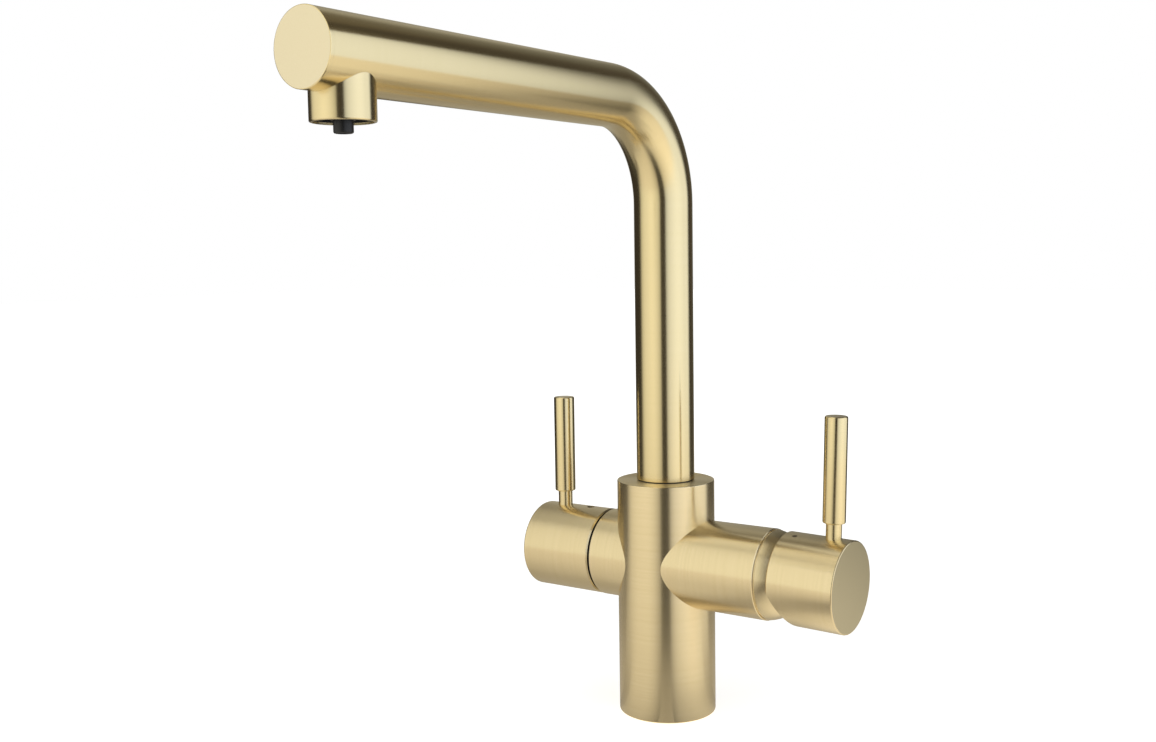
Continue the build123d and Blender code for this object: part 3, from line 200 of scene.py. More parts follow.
def standing_card(name, low, high, material, levels):
    """A tall card curved round the tap. levels holds (bearing from the camera's in degrees, level) pairs."""
    start, end = levels[0][0], levels[-1][0]
    steps = max(4, int((end - start) / STANDING_STEP))
    verts, corner_levels = [], []
    for step in range(steps + 1):
        turn = start + (end - start) * step / steps
        for height in (low, high):
            verts.append(ring_place(turn, TENT_RADIUS, height))
            corner_levels.append(level_at(turn, levels))
    faces = [(2 * s, 2 * s + 1, 2 * s + 3, 2 * s + 2) for s in range(steps)]
    return hidden_card(name, verts, faces, corner_levels, material)


def lying_card(name, height, material, turns, levels):
    """A level sector. turns holds (bearing, level) pairs, levels (distance from the tap in metres, level)."""
    start, end = turns[0][0], turns[-1][0]
    steps = max(4, int((end - start) / LYING_STEP))
    verts, corner_levels, faces = [], [], []
    for distance, level in levels:
        for step in range(steps + 1):
            turn = start + (end - start) * step / steps
            verts.append(ring_place(turn, distance, height))
            corner_levels.append(level * level_at(turn, turns))
    row = steps + 1
    for ring in range(len(levels) - 1):
        for step in range(steps):
            first = ring * row + step
            faces.append((first, first + 1, first + row + 1, first + row))
    return hidden_card(name, verts, faces, corner_levels, material)


print("a standing card has a face every", STANDING_STEP, "degrees, a lying one every", LYING_STEP)

# %% [markdown]
# ### Cloth, felt and paper
#
# The bright cards are diffuser cloth lit from behind, a little warm on the left and a little cool on the
# right, as the two sides of the photographed tube are. The dark ones are brown felt, which still gives back
# some light, so the tap's dark lines are brown and not black. The cards only ever show as blurred
# reflections, so a weave would never be seen, and each is drawn as a plain glow times its own level.

# %% Card materials
def glowing_card(name, colour, strength):
    """Cloth, felt or paper drawn as a glow, as strong at each place as the card's own level there."""
    material, tree = new_material(name)
    level = add_node(tree, "ShaderNodeAttribute", settings={"attribute_name": "level"})
    share = add_node(tree, "ShaderNodeMath", {0: level.outputs["Fac"]}, {"operation": "MULTIPLY"}, _1=strength)
    glow = add_node(tree, "ShaderNodeEmission", {"Strength": share.outputs[0]}, Color=linear(colour))
    finish_material(tree, glow.outputs[0])
    return material


left_cloth = glowing_card("soft_box_cloth_left", "#fffdf0", 1.0)
right_cloth = glowing_card("soft_box_cloth_right", "#eef5ff", 1.31)
black_felt = glowing_card("black_felt", "#37332e", 1.0)
ceiling_felt = glowing_card("ceiling_felt", "#6a6355", 1.0)
# The table paper's glow is painted light on the table, with painted shade close to the tap, seen only in
# reflections.
table_paper_painted_light_and_shade = glowing_card("table_paper_painted_light_and_shade", "#fff8e9", 1.0)
print("card materials:", left_cloth.name, right_cloth.name, black_felt.name, ceiling_felt.name, table_paper_painted_light_and_shade.name)

# %% [markdown]
# ### The tent
#
# The left soft box is bent round as far as the tap's far edge, dimmer and dimmer, and it stands higher than
# the right one. Felt fills the gap for the camera and hangs beside both boxes, and a faint card behind keeps
# the tap's back from going black. A lit cloth lies over the left half, so the tops of the arms are pale, and
# felt over the right half. Even lighting would need fewer cards, but would lose the bands that make brass
# look like brass. Each level was tried until its band was as pale or dark as on the photographed metal.

# %% Soft boxes and felt
LOW_TOP = 0.5
RIGHT_TOP = 1.0
TENT_TOP = 1.45
LEFT_BOX = [(-64, 0.98), (-56, 1.05), (-48, 1.08), (-38, 1.04), (-28, 0.92), (-20, 0.76), (-12, 0.5)]
RIGHT_BOX = [(8, 0.4), (14, 0.62), (20, 0.77), (32, 0.88), (45, 0.96), (57, 1.0), (71, 0.98), (86, 0.89),
             (103, 0.9), (108, 0.78), (113, 0.3), (117, 0.03)]
standing_card("soft_box_left_low", 0.0, LOW_TOP, left_cloth,
              [(-106, 0.03), (-100, 0.28), (-95, 0.62), (-90, 0.74), (-84, 0.84), (-76, 0.92)] + LEFT_BOX)
standing_card("soft_box_left_high", LOW_TOP, TENT_TOP, left_cloth,
              [(-165, 0.32), (-150, 0.3), (-136, 0.2), (-122, 0.2), (-109, 0.32), (-98, 0.52), (-90, 0.74),
               (-83, 0.88), (-76, 0.95)] + LEFT_BOX)
standing_card("soft_box_right", 0.0, RIGHT_TOP, right_cloth, RIGHT_BOX)
standing_card("camera_gap", 0.0, TENT_TOP, black_felt, [(-12, 1.2), (8, 1.2)])
standing_card("header_right", RIGHT_TOP, TENT_TOP, ceiling_felt, [(8, 1.0), (100, 1.0), (112, 0.4), (117, 0.3)])
standing_card("flag_right", 0.0, TENT_TOP, black_felt, [(117, 1.0), (130, 1.4), (145, 2.4)])
standing_card("back_card_low", 0.0, LOW_TOP, left_cloth,
              [(145, 0.08), (160, 0.12), (172, 0.34), (180, 0.42), (190, 0.42), (200, 0.1)])
standing_card("back_card_high", LOW_TOP, TENT_TOP, left_cloth,
              [(145, 0.1), (155, 0.14), (166, 0.18), (176, 0.32), (184, 0.4), (195, 0.34)])
standing_card("flag_left", 0.0, LOW_TOP, black_felt, [(-160, 1.0), (-106, 1.0)])
lying_card("ceiling_left", TENT_TOP, left_cloth,
           [(-165, 0.4), (-156, 0.65), (-146, 0.95), (-136, 1.0), (-111, 1.05), (-96, 1.15), (-20, 1.15)],
           [(0.0, 0.9), (0.57, 0.94), (0.65, 1.0), (0.8, 1.05), (0.85, 0.6), (0.95, 0.2)])
lying_card("ceiling_right", TENT_TOP, ceiling_felt, [(-20, 1.0), (195, 1.0)], [(0.0, 1.0), (0.95, 1.0)])
print("tent", TENT_TOP, "m high, right soft box", RIGHT_TOP, "m high")

# %% [markdown]
# ### Papers on the table
#
# The undersides of the arms and of the spout mirror the table. In the photograph they are pale at the sides
# and darker towards the camera and near the foot, so glowing sheets of paper lie on the table all round the
# tap. Their glow is painted light: it is the table as the soft boxes light it, with a dimmer grey card towards
# the camera. Close to the tap the glow falls off as painted shade, standing for the tap's own shadow on the
# table, which a glow cannot cast. The sheets are hidden from the camera and give no light to the floor, so they
# show only in the metal, as a painted reflection of a table darker than the white floor. Grading the floor
# itself would have shown in the picture.

# %% Papers
PAPER_HEIGHT = 0.0006
# Glow by distance from the tap in metres. The low levels close to the tap are painted shade: the tap's own shadow
# on the table, as the metal mirrors it.
LEFT_PAPER = [(0.0, 0.45), (0.02, 0.5), (0.035, 0.58), (0.05, 0.65), (0.068, 0.71), (0.11, 0.72),
              (0.15, 0.76), (0.2, 0.8), (0.3, 0.84), (0.45, 0.88), (0.95, 0.9)]
RIGHT_PAPER = [(0.0, 0.48), (0.05, 0.52), (0.058, 0.56), (0.066, 0.68), (0.074, 0.78), (0.15, 0.82),
               (0.3, 0.92), (0.6, 1.0), (0.95, 1.0)]
FRONT_PAPER = [(0.0, 0.4), (0.09, 0.4), (0.12, 0.32), (0.16, 0.14), (0.25, 0.07), (0.95, 0.05)]
NEAR_END = [(0.0, 0.42), (0.05, 0.5), (0.1, 0.66), (0.2, 0.8), (0.3, 0.86)]
FAR_END = [(0.3, 1.0), (0.95, 1.0)]
NEAR_BACK = [(0.0, 0.45), (0.1, 0.45), (0.2, 0.34), (0.45, 0.34)]
FAR_BACK = [(0.45, 1.0), (0.95, 1.0)]
papers = {
    "table_left": ([(-84, 0.88), (-76, 0.95), (-70, 1.0), (-40, 1.0), (-28, 0.86), (-20, 0.68), (-12, 0.45)],
                   LEFT_PAPER),
    "table_left_end": ([(-107, 0.75), (-84, 0.9)], NEAR_END),
    "table_left_edge": ([(-107, 0.05), (-100, 0.22), (-94, 0.5), (-84, 0.84)], FAR_END),
    "table_front": ([(-12, 1.0), (8, 1.0)], FRONT_PAPER),
    "table_right": ([(8, 0.5), (14, 0.7), (20, 0.86), (32, 1.02), (48, 1.18), (62, 1.2), (84, 1.02)],
                    RIGHT_PAPER),
    "table_right_end": ([(84, 0.98), (110, 0.75)], NEAR_END),
    "table_right_edge": ([(84, 1.0), (99, 0.95), (106, 0.82), (109, 0.4), (113, 0.08), (117, 0.05)], FAR_END),
    "table_back": ([(110, 1.0), (253, 1.0)], NEAR_BACK),
    "table_back_edge": ([(117, 0.04), (148, 0.07), (160, 0.36), (200, 0.4), (212, 0.1), (253, 0.03)], FAR_BACK),
}
for name, (turns, levels) in papers.items():
    sheet = lying_card(name, PAPER_HEIGHT, table_paper_painted_light_and_shade, turns, levels)
    sheet.visible_diffuse = False
print("papers on the table:", len(papers))

# %% [markdown]
# ## Floor and backdrop
#
# The tap stands on a pale floor that runs out to a white backdrop. Both are white to the eye and in
# reflections, because they glow where a ray comes straight from the camera or off metal or glass. The floor
# also takes real light, so the tap darkens it softly where it stands. Its own glow is weaker near the tap,
# where that shadow has to show. Brighter lamps could make the floor white too, but they would burn out the
# pale bands on the brass.

# %% Floor and backdrop
def seen_directly(tree):
    """1 for what the camera sees straight, in a reflection or through glass, 0 for light that only falls."""
    path = add_node(tree, "ShaderNodeLightPath")
    straight_or_mirrored = add_node(
        tree, "ShaderNodeMath", {0: path.outputs["Is Camera Ray"], 1: path.outputs["Is Glossy Ray"]},
        {"operation": "MAXIMUM"})
    return add_node(
        tree, "ShaderNodeMath", {0: straight_or_mirrored.outputs[0], 1: path.outputs["Is Transmission Ray"]},
        {"operation": "MAXIMUM"}).outputs[0]


floor_material, tree = new_material("pale_floor_paper")
paper = add_node(tree, "ShaderNodeBsdfDiffuse", Color=linear("#e8e8e8"))
place = add_node(tree, "ShaderNodeTexCoord")
away = add_node(tree, "ShaderNodeVectorMath", {0: place.outputs["Object"]}, {"operation": "LENGTH"})
glow_level = add_node(
    tree, "ShaderNodeMapRange", {"Value": away.outputs["Value"]}, {"interpolation_type": "SMOOTHSTEP"},
    From_Min=0.15, From_Max=0.8, To_Min=0.72, To_Max=1.0)
glow_share = add_node(
    tree, "ShaderNodeMath", {0: seen_directly(tree), 1: glow_level.outputs[0]}, {"operation": "MULTIPLY"})
paper_glow = add_node(tree, "ShaderNodeEmission", {"Strength": glow_share.outputs[0]}, Color=linear("#ffffff"))
paper_both = add_node(tree, "ShaderNodeAddShader", {0: paper.outputs[0], 1: paper_glow.outputs[0]})
finish_material(tree, paper_both.outputs[0])

bpy.ops.object.select_all(action="DESELECT")
bpy.ops.mesh.primitive_plane_add(size=12.0, location=(0, 0, 0))
floor = bpy.context.object
floor.name = "pale_floor"
floor.data.materials.append(floor_material)

world = bpy.data.worlds.new("white_backdrop")
bpy.context.scene.world = world
world.use_nodes = True
tree = world.node_tree
tree.nodes.clear()
backdrop_share = add_node(
    tree, "ShaderNodeMapRange", {"Value": seen_directly(tree)}, To_Min=0.25, To_Max=1.0)
backdrop = add_node(
    tree, "ShaderNodeBackground", {"Strength": backdrop_share.outputs[0]}, Color=linear("#ffffff"))
add_node(tree, "ShaderNodeOutputWorld", {"Surface": backdrop.outputs[0]})
print("floor", round(floor.dimensions.x), "m wide, white to the camera, and it takes the tap's shadow")

# %% [markdown]
# ## Brushed brass
#
# The body, arms and caps are turned brass with a thin lacquer or PVD layer, brushed while they spin. The
# brush leaves grooves that run round the axis. Grooves stretch every highlight along the axis and keep it
# sharp across, which is what anisotropy does in the shader. Grooves cut into the mesh could do it too, but
# would need millions of faces. The tangent comes from each piece's own UV map, whose U runs along the axis.
#
# The grooves themselves are noise stretched round the axis. Real ones are a few hundredths of a millimetre
# wide, too fine for the picture, so they are drawn 0.8 mm wide and very faint, as a change of tone and a
# trace of relief. The gloss changes only slowly, in patches a few centimetres wide: gloss that changed from
# groove to groove would break the highlights into a ripple, and the real ones are smooth.
#
# Satin brass is the finish of the large turned parts. The tube, nozzle and levers are brushed with a finer
# grit and are crisper. The body's top is left as the lathe faced it, duller, with the tool's rings round it.

# %% Brushed metal recipe
GROOVE_MM = 0.8
GROOVE_LENGTH_MM = 45.0
PATCHES_PER_METRE = 28.0
PATCH_GLOSS = 0.008  # how far a patch goes from the middle roughness


def brushed_metal(name, colour, tint, roughness, sharpness, groove_depth):
    """Metal brushed round its axis. It reads the piece's own "grain" attribute and "brush" UV map."""
    material, tree = new_material(name)
    grain = add_node(tree, "ShaderNodeAttribute", settings={"attribute_name": "grain"})
    grooves = add_node(
        tree, "ShaderNodeMapping", {"Vector": grain.outputs["Vector"]},
        Scale=(1000 / GROOVE_MM, 1000 / GROOVE_LENGTH_MM, 1000 / GROOVE_LENGTH_MM))
    lines = add_node(
        tree, "ShaderNodeTexNoise", {"Vector": grooves.outputs[0]}, Scale=1.0, Detail=1.0, Roughness=0.5)
    patches = add_node(
        tree, "ShaderNodeTexNoise", {"Vector": grain.outputs["Vector"]}, Scale=PATCHES_PER_METRE, Detail=2.0)
    tone = add_node(
        tree, "ShaderNodeMix", {"Factor": lines.outputs["Fac"]}, {"data_type": "RGBA"},
        _6=linear(colour), _7=linear(tint))
    gloss = add_node(
        tree, "ShaderNodeMapRange", {"Value": patches.outputs["Fac"]},
        From_Min=0.0, From_Max=1.0, To_Min=roughness - PATCH_GLOSS, To_Max=roughness + PATCH_GLOSS)
    relief = add_node(
        tree, "ShaderNodeBump", {"Height": lines.outputs["Fac"]}, Strength=1.0, Distance=mm(groove_depth))
    along = add_node(tree, "ShaderNodeTangent", settings={"direction_type": "UV_MAP", "uv_map": "brush"})
    metal = add_node(
        tree, "ShaderNodeBsdfPrincipled",
        {"Base Color": tone.outputs[2], "Roughness": gloss.outputs[0], "Normal": relief.outputs[0],
         "Tangent": along.outputs[0]},
        Metallic=1.0, Anisotropic=sharpness)
    finish_material(tree, metal.outputs[0])
    return material


satin_brass = brushed_metal("satin_brushed_brass", "#ecd9ad", "#f2e0b8", 0.27, 0.8, 0.0001)
fine_brass = brushed_metal("fine_brushed_brass", "#ead8a8", "#eddbae", 0.22, 0.7, 0.00012)
lathe_faced_brass = brushed_metal("lathe_faced_brass", "#f3e0b0", "#f7e5b9", 0.42, 0.8, 0.0004)
print("brushed finishes:", satin_brass.name, fine_brass.name, lathe_faced_brass.name)

# %% [markdown]
# ## Faced brass and steel
#
# The flat ends of the spout, arms, levers and collar are faced on the lathe and then hand finished. They
# show no direction, only a fine even grain, so they are as rough one way as the other. The ends of the caps
# are blasted, which makes them duller and greyer than the sides. Inside, the valve's brass stays as
# machined, yellower because nothing covers it, and the screws, pin, stem and screen are stainless steel.
# Each grain is 0.3 to 0.5 mm wide, coarser than real grit, so that it still shows in the picture.

# %% Faced metal recipe
FACED_GLOSS = 0.03
FACED_RELIEF = 0.004  # in millimetres


def faced_metal(name, colour, tint, roughness, grain_mm):
    """Metal with a fine even grain and no direction."""
    material, tree = new_material(name)
    place = add_node(tree, "ShaderNodeTexCoord")
    speckle = add_node(
        tree, "ShaderNodeTexNoise", {"Vector": place.outputs["Object"]}, Scale=1000 / grain_mm, Detail=2.0)
    tone = add_node(
        tree, "ShaderNodeMix", {"Factor": speckle.outputs["Fac"]}, {"data_type": "RGBA"},
        _6=linear(colour), _7=linear(tint))
    gloss = add_node(
        tree, "ShaderNodeMapRange", {"Value": speckle.outputs["Fac"]},
        From_Min=0.3, From_Max=0.7, To_Min=roughness - FACED_GLOSS, To_Max=roughness + FACED_GLOSS)
    relief = add_node(
        tree, "ShaderNodeBump", {"Height": speckle.outputs["Fac"]}, Strength=1.0, Distance=mm(FACED_RELIEF))
    metal = add_node(
        tree, "ShaderNodeBsdfPrincipled",
        {"Base Color": tone.outputs[2], "Roughness": gloss.outputs[0], "Normal": relief.outputs[0]},
        Metallic=1.0)
    finish_material(tree, metal.outputs[0])
    return material


faced_brass = faced_metal("faced_brass", "#eee0be", "#f3e7ca", 0.34, 0.5)
matt_faced_brass = faced_metal("matt_faced_brass", "#cabf9d", "#d3c8a7", 0.36, 0.5)
machined_brass = faced_metal("machined_brass", "#d9bf7c", "#e2cb8e", 0.28, 0.4)
stainless_steel = faced_metal("stainless_steel", "#b9b9ba", "#c6c6c8", 0.3, 0.3)
print("faced finishes:", faced_brass.name, matt_faced_brass.name, machined_brass.name, stainless_steel.name)

# %% [markdown]
# ## Plastics, rubber, enamel and ceramic
#
# Inside a tap are acetal bushings, glass-filled nylon cartridge parts, nitrile rubber seals, a polythene
# tube and lapped alumina discs, and on the mixer's cap is a dot of brown enamel. They are simple
# dielectrics: the differences are their tone, how glossy the mould or the lapping left them, their index of
# refraction and a fine moulded grain.

# %% Moulded materials
MOULD_GLOSS = 0.05


def moulded(name, colour, tint, roughness, grain_mm, relief_mm, ior):
    """A plastic, rubber, enamel or ceramic with the fine grain of its mould."""
    material, tree = new_material(name)
    place = add_node(tree, "ShaderNodeTexCoord")
    grain = add_node(
        tree, "ShaderNodeTexNoise", {"Vector": place.outputs["Object"]}, Scale=1000 / grain_mm, Detail=3.0)
    tone = add_node(
        tree, "ShaderNodeMix", {"Factor": grain.outputs["Fac"]}, {"data_type": "RGBA"},
        _6=linear(colour), _7=linear(tint))
    gloss = add_node(
        tree, "ShaderNodeMapRange", {"Value": grain.outputs["Fac"]},
        From_Min=0.3, From_Max=0.7, To_Min=roughness - MOULD_GLOSS, To_Max=roughness + MOULD_GLOSS)
    relief = add_node(
        tree, "ShaderNodeBump", {"Height": grain.outputs["Fac"]}, Strength=1.0, Distance=mm(relief_mm))
    skin = add_node(
        tree, "ShaderNodeBsdfPrincipled",
        {"Base Color": tone.outputs[2], "Roughness": gloss.outputs[0], "Normal": relief.outputs[0]}, IOR=ior)
    finish_material(tree, skin.outputs[0])
    return material


black_acetal = moulded("black_moulded_acetal", "#151516", "#1d1d1f", 0.38, 0.35, 0.01, 1.48)
grey_nylon = moulded("glass_filled_nylon", "#595c60", "#66696d", 0.45, 0.3, 0.01, 1.53)
nitrile_rubber = moulded("nitrile_rubber", "#1a1a1a", "#232323", 0.6, 0.4, 0.01, 1.52)
lapped_alumina = moulded("lapped_alumina", "#e3dfd3", "#ece8dd", 0.22, 0.2, 0.002, 1.76)
brown_enamel = moulded("brown_enamel", "#54462f", "#5f5038", 0.4, 0.3, 0.002, 1.5)
tube_polythene = moulded("natural_polythene", "#dfe0dc", "#e7e8e4", 0.42, 0.8, 0.01, 1.51)
print("moulded finishes:", black_acetal.name, grey_nylon.name, nitrile_rubber.name, lapped_alumina.name,
      brown_enamel.name, tube_polythene.name)

# %% [markdown]
# ## Picking a piece up and setting it down
#
# An operator acts on all that is selected, and the loaded CAD nodes are all selected, so each step starts by
# picking one piece. A finished piece keeps its place in its mesh and its object at the origin, so every move
# is applied at once.

# %% Picking and placing helpers
def start_clean():
    """Object mode with nothing selected."""
    if bpy.context.object and bpy.context.object.mode != "OBJECT":
        bpy.ops.object.mode_set(mode="OBJECT")
    bpy.ops.object.select_all(action="DESELECT")


def pick(piece):
    """Leaves one piece selected and active."""
    start_clean()
    piece.select_set(True)
    bpy.context.view_layer.objects.active = piece


def set_down(piece, place=(0, 0, 0), turn=(0, 0, 0)):
    """Turns a piece by degrees, moves it by millimetres and keeps both in its mesh."""
    pick(piece)
    piece.rotation_euler = [math.radians(angle) for angle in turn]
    piece.location = [mm(distance) for distance in place]
    bpy.ops.object.transform_apply(location=True, rotation=True, scale=True)
    return piece


start_clean()
print("selected:", len(bpy.context.selected_objects))

# %% [markdown]
# ## How the turned pieces are made
#
# Almost every piece of a tap comes off a lathe, so its mesh is made the way a lathe would: a circle is drawn
# at the first station, then extruded and scaled to the next one, and so on round the half section. The
# stations are (radius, height) pairs in millimetres. A closed section ends where it began, and the seam is
# merged. Spinning a drawn section would do as well, but stations keep every ring a perfect circle.

# %% Turning helper
ROUND_SIDES = 192
LARGE_SIDES = 256


def turned(name, stations, sides=ROUND_SIDES):
    """A piece turned about Z from (radius, height) stations in mm. A radius of 0 closes it on the axis."""
    start_clean()
    from_axis = stations[0][0] == 0
    (radius, height), *rest = stations[1:] if from_axis else stations
    bpy.ops.mesh.primitive_circle_add(
        vertices=sides, radius=mm(radius), location=(0, 0, mm(height)),
        fill_type="NGON" if from_axis else "NOTHING")
    piece = bpy.context.object
    piece.name = name
    bpy.ops.object.transform_apply(location=True, rotation=True, scale=True)
    bpy.ops.object.mode_set(mode="EDIT")
    bpy.ops.mesh.select_mode(type="EDGE")
    bpy.ops.mesh.select_all(action="SELECT")
    if from_axis:
        bpy.ops.mesh.region_to_loop()
    for next_radius, next_height in rest:
        if next_radius == 0:
            bpy.ops.mesh.edge_face_add()
            break
        bpy.ops.mesh.extrude_edges_move(
            TRANSFORM_OT_translate={"value": (0, 0, mm(next_height - height))})
        scale = next_radius / radius
        bpy.ops.transform.resize(value=(scale, scale, 1), center_override=(0, 0, mm(next_height)))
        radius, height = next_radius, next_height
    bpy.ops.mesh.select_all(action="SELECT")
    bpy.ops.mesh.remove_doubles(threshold=mm(SEAM))
    bpy.ops.mesh.normals_make_consistent(inside=False)
    bpy.ops.object.mode_set(mode="OBJECT")
    return piece


def arc(centre_r, centre_h, radius, start, end, steps):
    """Stations along an arc of the half section, angles in degrees from straight out."""
    return [
        (centre_r + radius * math.cos(math.radians(start + (end - start) * i / steps)),
         centre_h + radius * math.sin(math.radians(start + (end - start) * i / steps)))
        for i in range(steps + 1)]


print("turned pieces have", ROUND_SIDES, "or", LARGE_SIDES, "sides")

# %% [markdown]
# ### Laying and leaning
#
# The arms, the collar and the caps are turned upright and then laid on the arms' axis. The shut mixer handle
# leans by the play that its stem has, so its pieces are turned a little about the pivot.

# %% Laying and leaning helpers
def laid_along(piece, direction):
    """Lays a piece that was turned about Z along +X ("mixer") or -X ("filter"), on the arms' axis."""
    return set_down(piece, (0, 0, ARM_HEIGHT), (0, 90 if direction == "mixer" else -90, 0))


def drooped(piece):
    """Leans a piece of the shut mixer handle about its pivot."""
    lean = math.radians(CLOSED_DROOP)
    leant_out = PIVOT_OUT * math.cos(lean) + ARM_HEIGHT * math.sin(lean)
    leant_up = ARM_HEIGHT * math.cos(lean) - PIVOT_OUT * math.sin(lean)
    return set_down(piece, (PIVOT_OUT - leant_out, 0, ARM_HEIGHT - leant_up), (0, CLOSED_DROOP, 0))


print("the shut mixer handle leans by", CLOSED_DROOP, "degrees")

# %% [markdown]
# ## Cutting one piece with another
#
# Holes, saddles and slanted rims are drilled and milled on the real tap. Here they are cut with a Boolean
# modifier that is applied at once. The cutter is an ordinary mesh that is deleted afterwards. Drawing the
# holes into the mesh by hand would leave a cleaner grid, but two crossing cylinders meet in a curve that a
# Boolean finds exactly.

# %% Cutting helpers
def cut(piece, *cutters):
    """Cuts the cutters out of a piece and deletes them."""
    for cutter in cutters:
        pick(piece)
        modifier = piece.modifiers.new("cut", "BOOLEAN")
        modifier.operation = "DIFFERENCE"
        modifier.solver = "EXACT"
        modifier.object = cutter
        bpy.ops.object.modifier_apply(modifier=modifier.name)
        bpy.data.objects.remove(cutter, do_unlink=True)
    return piece


def rod_cutter(name, radius, low, high, place=(0, 0, 0), turn=(0, 0, 0), sides=64):
    """A plain rod from one height to another in mm, then turned and moved."""
    rod = turned(name, [(0, low), (radius, low), (radius, high), (0, high)], sides)
    return set_down(rod, place, turn)


def cross_hole(out, radius, low, high, turn=0.0):
    """A hole across the arms' axis, turned about it from straight up by degrees."""
    return rod_cutter("cross_hole", radius, low, high, (out, 0, ARM_HEIGHT), (turn, 0, 0))


print("cutting helpers ready")

# %% [markdown]
# ## The grain of each piece
#
# The brushed finish needs to know, at every point, where the brush or the turning tool passed. That is kept
# in the mesh itself: a "grain" attribute whose first value grows along the axis and outwards from it, and a
# UV map whose U runs along the axis. On a flat end U runs along the radius, since the tool's rings are there
# round the axis too. Object coordinates alone would do for a straight piece, but the spout's axis bends.

# %% Axes
def along_x(point):
    """Distance along the arms' axis, and the place across it."""
    return point.x, point.y, point.z - mm(ARM_HEIGHT)


def along_z(point):
    """Distance up the body's axis, and the place across it."""
    return point.z, point.x, point.y


def along_spout(point):
    """Distance along the spout's centre line: up the column, round the bend and out along the reach."""
    bend_foot = mm(SPOUT_HEIGHT - SPOUT_BEND)
    bend = mm(SPOUT_BEND)
    if point.z < bend_foot:
        return point.z, point.x, point.y
    if point.y > -bend:
        angle = math.atan2(point.z - bend_foot, point.y + bend)
        reach = math.hypot(point.z - bend_foot, point.y + bend)
        return bend_foot + bend * angle, point.x, reach - bend
    return bend_foot + bend * math.pi / 2 - bend - point.y, point.x, point.z - mm(SPOUT_HEIGHT)


spout_length = SPOUT_HEIGHT - SPOUT_BEND - SPOUT_FOOT + SPOUT_BEND * math.pi / 2 + SPOUT_END - SPOUT_BEND
print("the spout's centre line is", round(spout_length, 1), "mm long")

# %% Grain helper
FLAT_SLOPE = 0.05  # a face that climbs less than this along the axis is a flat end
U_SCALE, V_SCALE = 20, 0.3


def give_grain(piece, along, side_material, end_material):
    """Stores the grain and the brush map, and gives the sides and the flat ends their own finish."""
    mesh = piece.data
    places = [along(v.co) for v in mesh.vertices]
    grain = mesh.attributes.new("grain", "FLOAT_VECTOR", "POINT")
    grain.data.foreach_set("vector", [
        value for out, side, up in places for value in (out + math.hypot(side, up), side, up)])
    while mesh.uv_layers:
        mesh.uv_layers.remove(mesh.uv_layers[0])
    brush = mesh.uv_layers.new(name="brush")
    mesh.materials.clear()
    mesh.materials.append(side_material)
    mesh.materials.append(end_material)
    for face in mesh.polygons:
        loops = list(face.loop_indices)
        corners = [places[mesh.loops[i].vertex_index] for i in loops]
        reaches = [math.hypot(side, up) for _, side, up in corners]
        spread = max(c[0] for c in corners) - min(c[0] for c in corners)
        width = max(reaches) - min(reaches)
        is_flat_end = spread < 1e-6 or (width > 0 and spread / width < FLAT_SLOPE)
        first = math.atan2(corners[0][2], corners[0][1])
        for i, corner, reach in zip(loops, corners, reaches):
            turn = math.atan2(corner[2], corner[1])
            turn = first + (turn - first + math.pi) % (2 * math.pi) - math.pi
            brush.data[i].uv = ((reach if is_flat_end else corner[0]) * U_SCALE, turn * V_SCALE)
        face.material_index = 1 if is_flat_end else 0
    return piece


print("a face is a flat end where it climbs less than", FLAT_SLOPE, "along the axis")

# %% [markdown]
# ## Finishing a piece
#
# Each piece ends in the same three steps. It is shaded smooth except over its sharp edges, it gets its
# finish, and it is told which body it moves with, which finish slot it takes and which CAD node it stands
# for.

# %% Finishing helpers
def smooth(piece, angle=14):
    """Smooth shading that keeps every edge sharper than the angle."""
    pick(piece)
    bpy.ops.object.shade_smooth_by_angle(angle=math.radians(angle))
    return piece


def one_finish(piece, material):
    """The same finish all over a piece, smoothly shaded."""
    piece.data.materials.clear()
    piece.data.materials.append(material)
    return smooth(piece, 25)


def settle(piece, body, replaced):
    """Puts a finished piece on its body and lets it stand for its CAD node."""
    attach(piece, body)
    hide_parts(replaced)
    print(piece.name, "triangles", sum(len(face.vertices) - 2 for face in piece.data.polygons))
    return piece


# %% [markdown]
# ## The body
#
# The body is a plain brass cylinder of 48 mm with a small round at its foot and a broken edge at its top.
# Under the foot are a groove for the rubber ring, three M10 ports for the hoses and two M8 holes for the
# studs, and behind is the hole for the screw that holds the spout in. A cylinder with a Bevel modifier
# would round both edges alike, so the section is turned from stations instead. The threads are drawn as
# rings one pitch apart, because a helix of that pitch looks the same and needs far more care to cut.

# %% Threaded holes
PORT_CORE, PORT_DEPTH, PORT_PITCH = 4.46, 12, 1.0
STUD_CORE, STUD_DEPTH, STUD_PITCH = 3.32, 16, 1.25
PORT_OUT = 9.5
PORT_SIDE = 8 * math.cos(math.radians(30))
FILTER_PORT_OUT = -12.0
STUD_OUT, STUD_SIDE = -4.9, 13.0
THREAD_RIDGE = 0.54  # of the pitch


def thread_cutter(name, core, depth, pitch, x, y):
    """Cutter for a threaded hole that opens downwards: a rod with a ridge for each turn of the thread."""
    ridge = THREAD_RIDGE * pitch
    stations = [(0, -1), (core + ridge, -1), (core + ridge, 0)]
    height = ridge
    while height < depth - pitch:
        stations += [(core, height), (core + ridge, height + pitch / 2)]
        height += pitch
    stations += [(core, height), (core, depth), (0, depth)]
    return set_down(turned(name, stations, 40), (x, y, 0))


print("ports", round(2 * (PORT_CORE + THREAD_RIDGE * PORT_PITCH), 1), "mm, stud holes",
      round(2 * (STUD_CORE + THREAD_RIDGE * STUD_PITCH), 1), "mm over their threads")

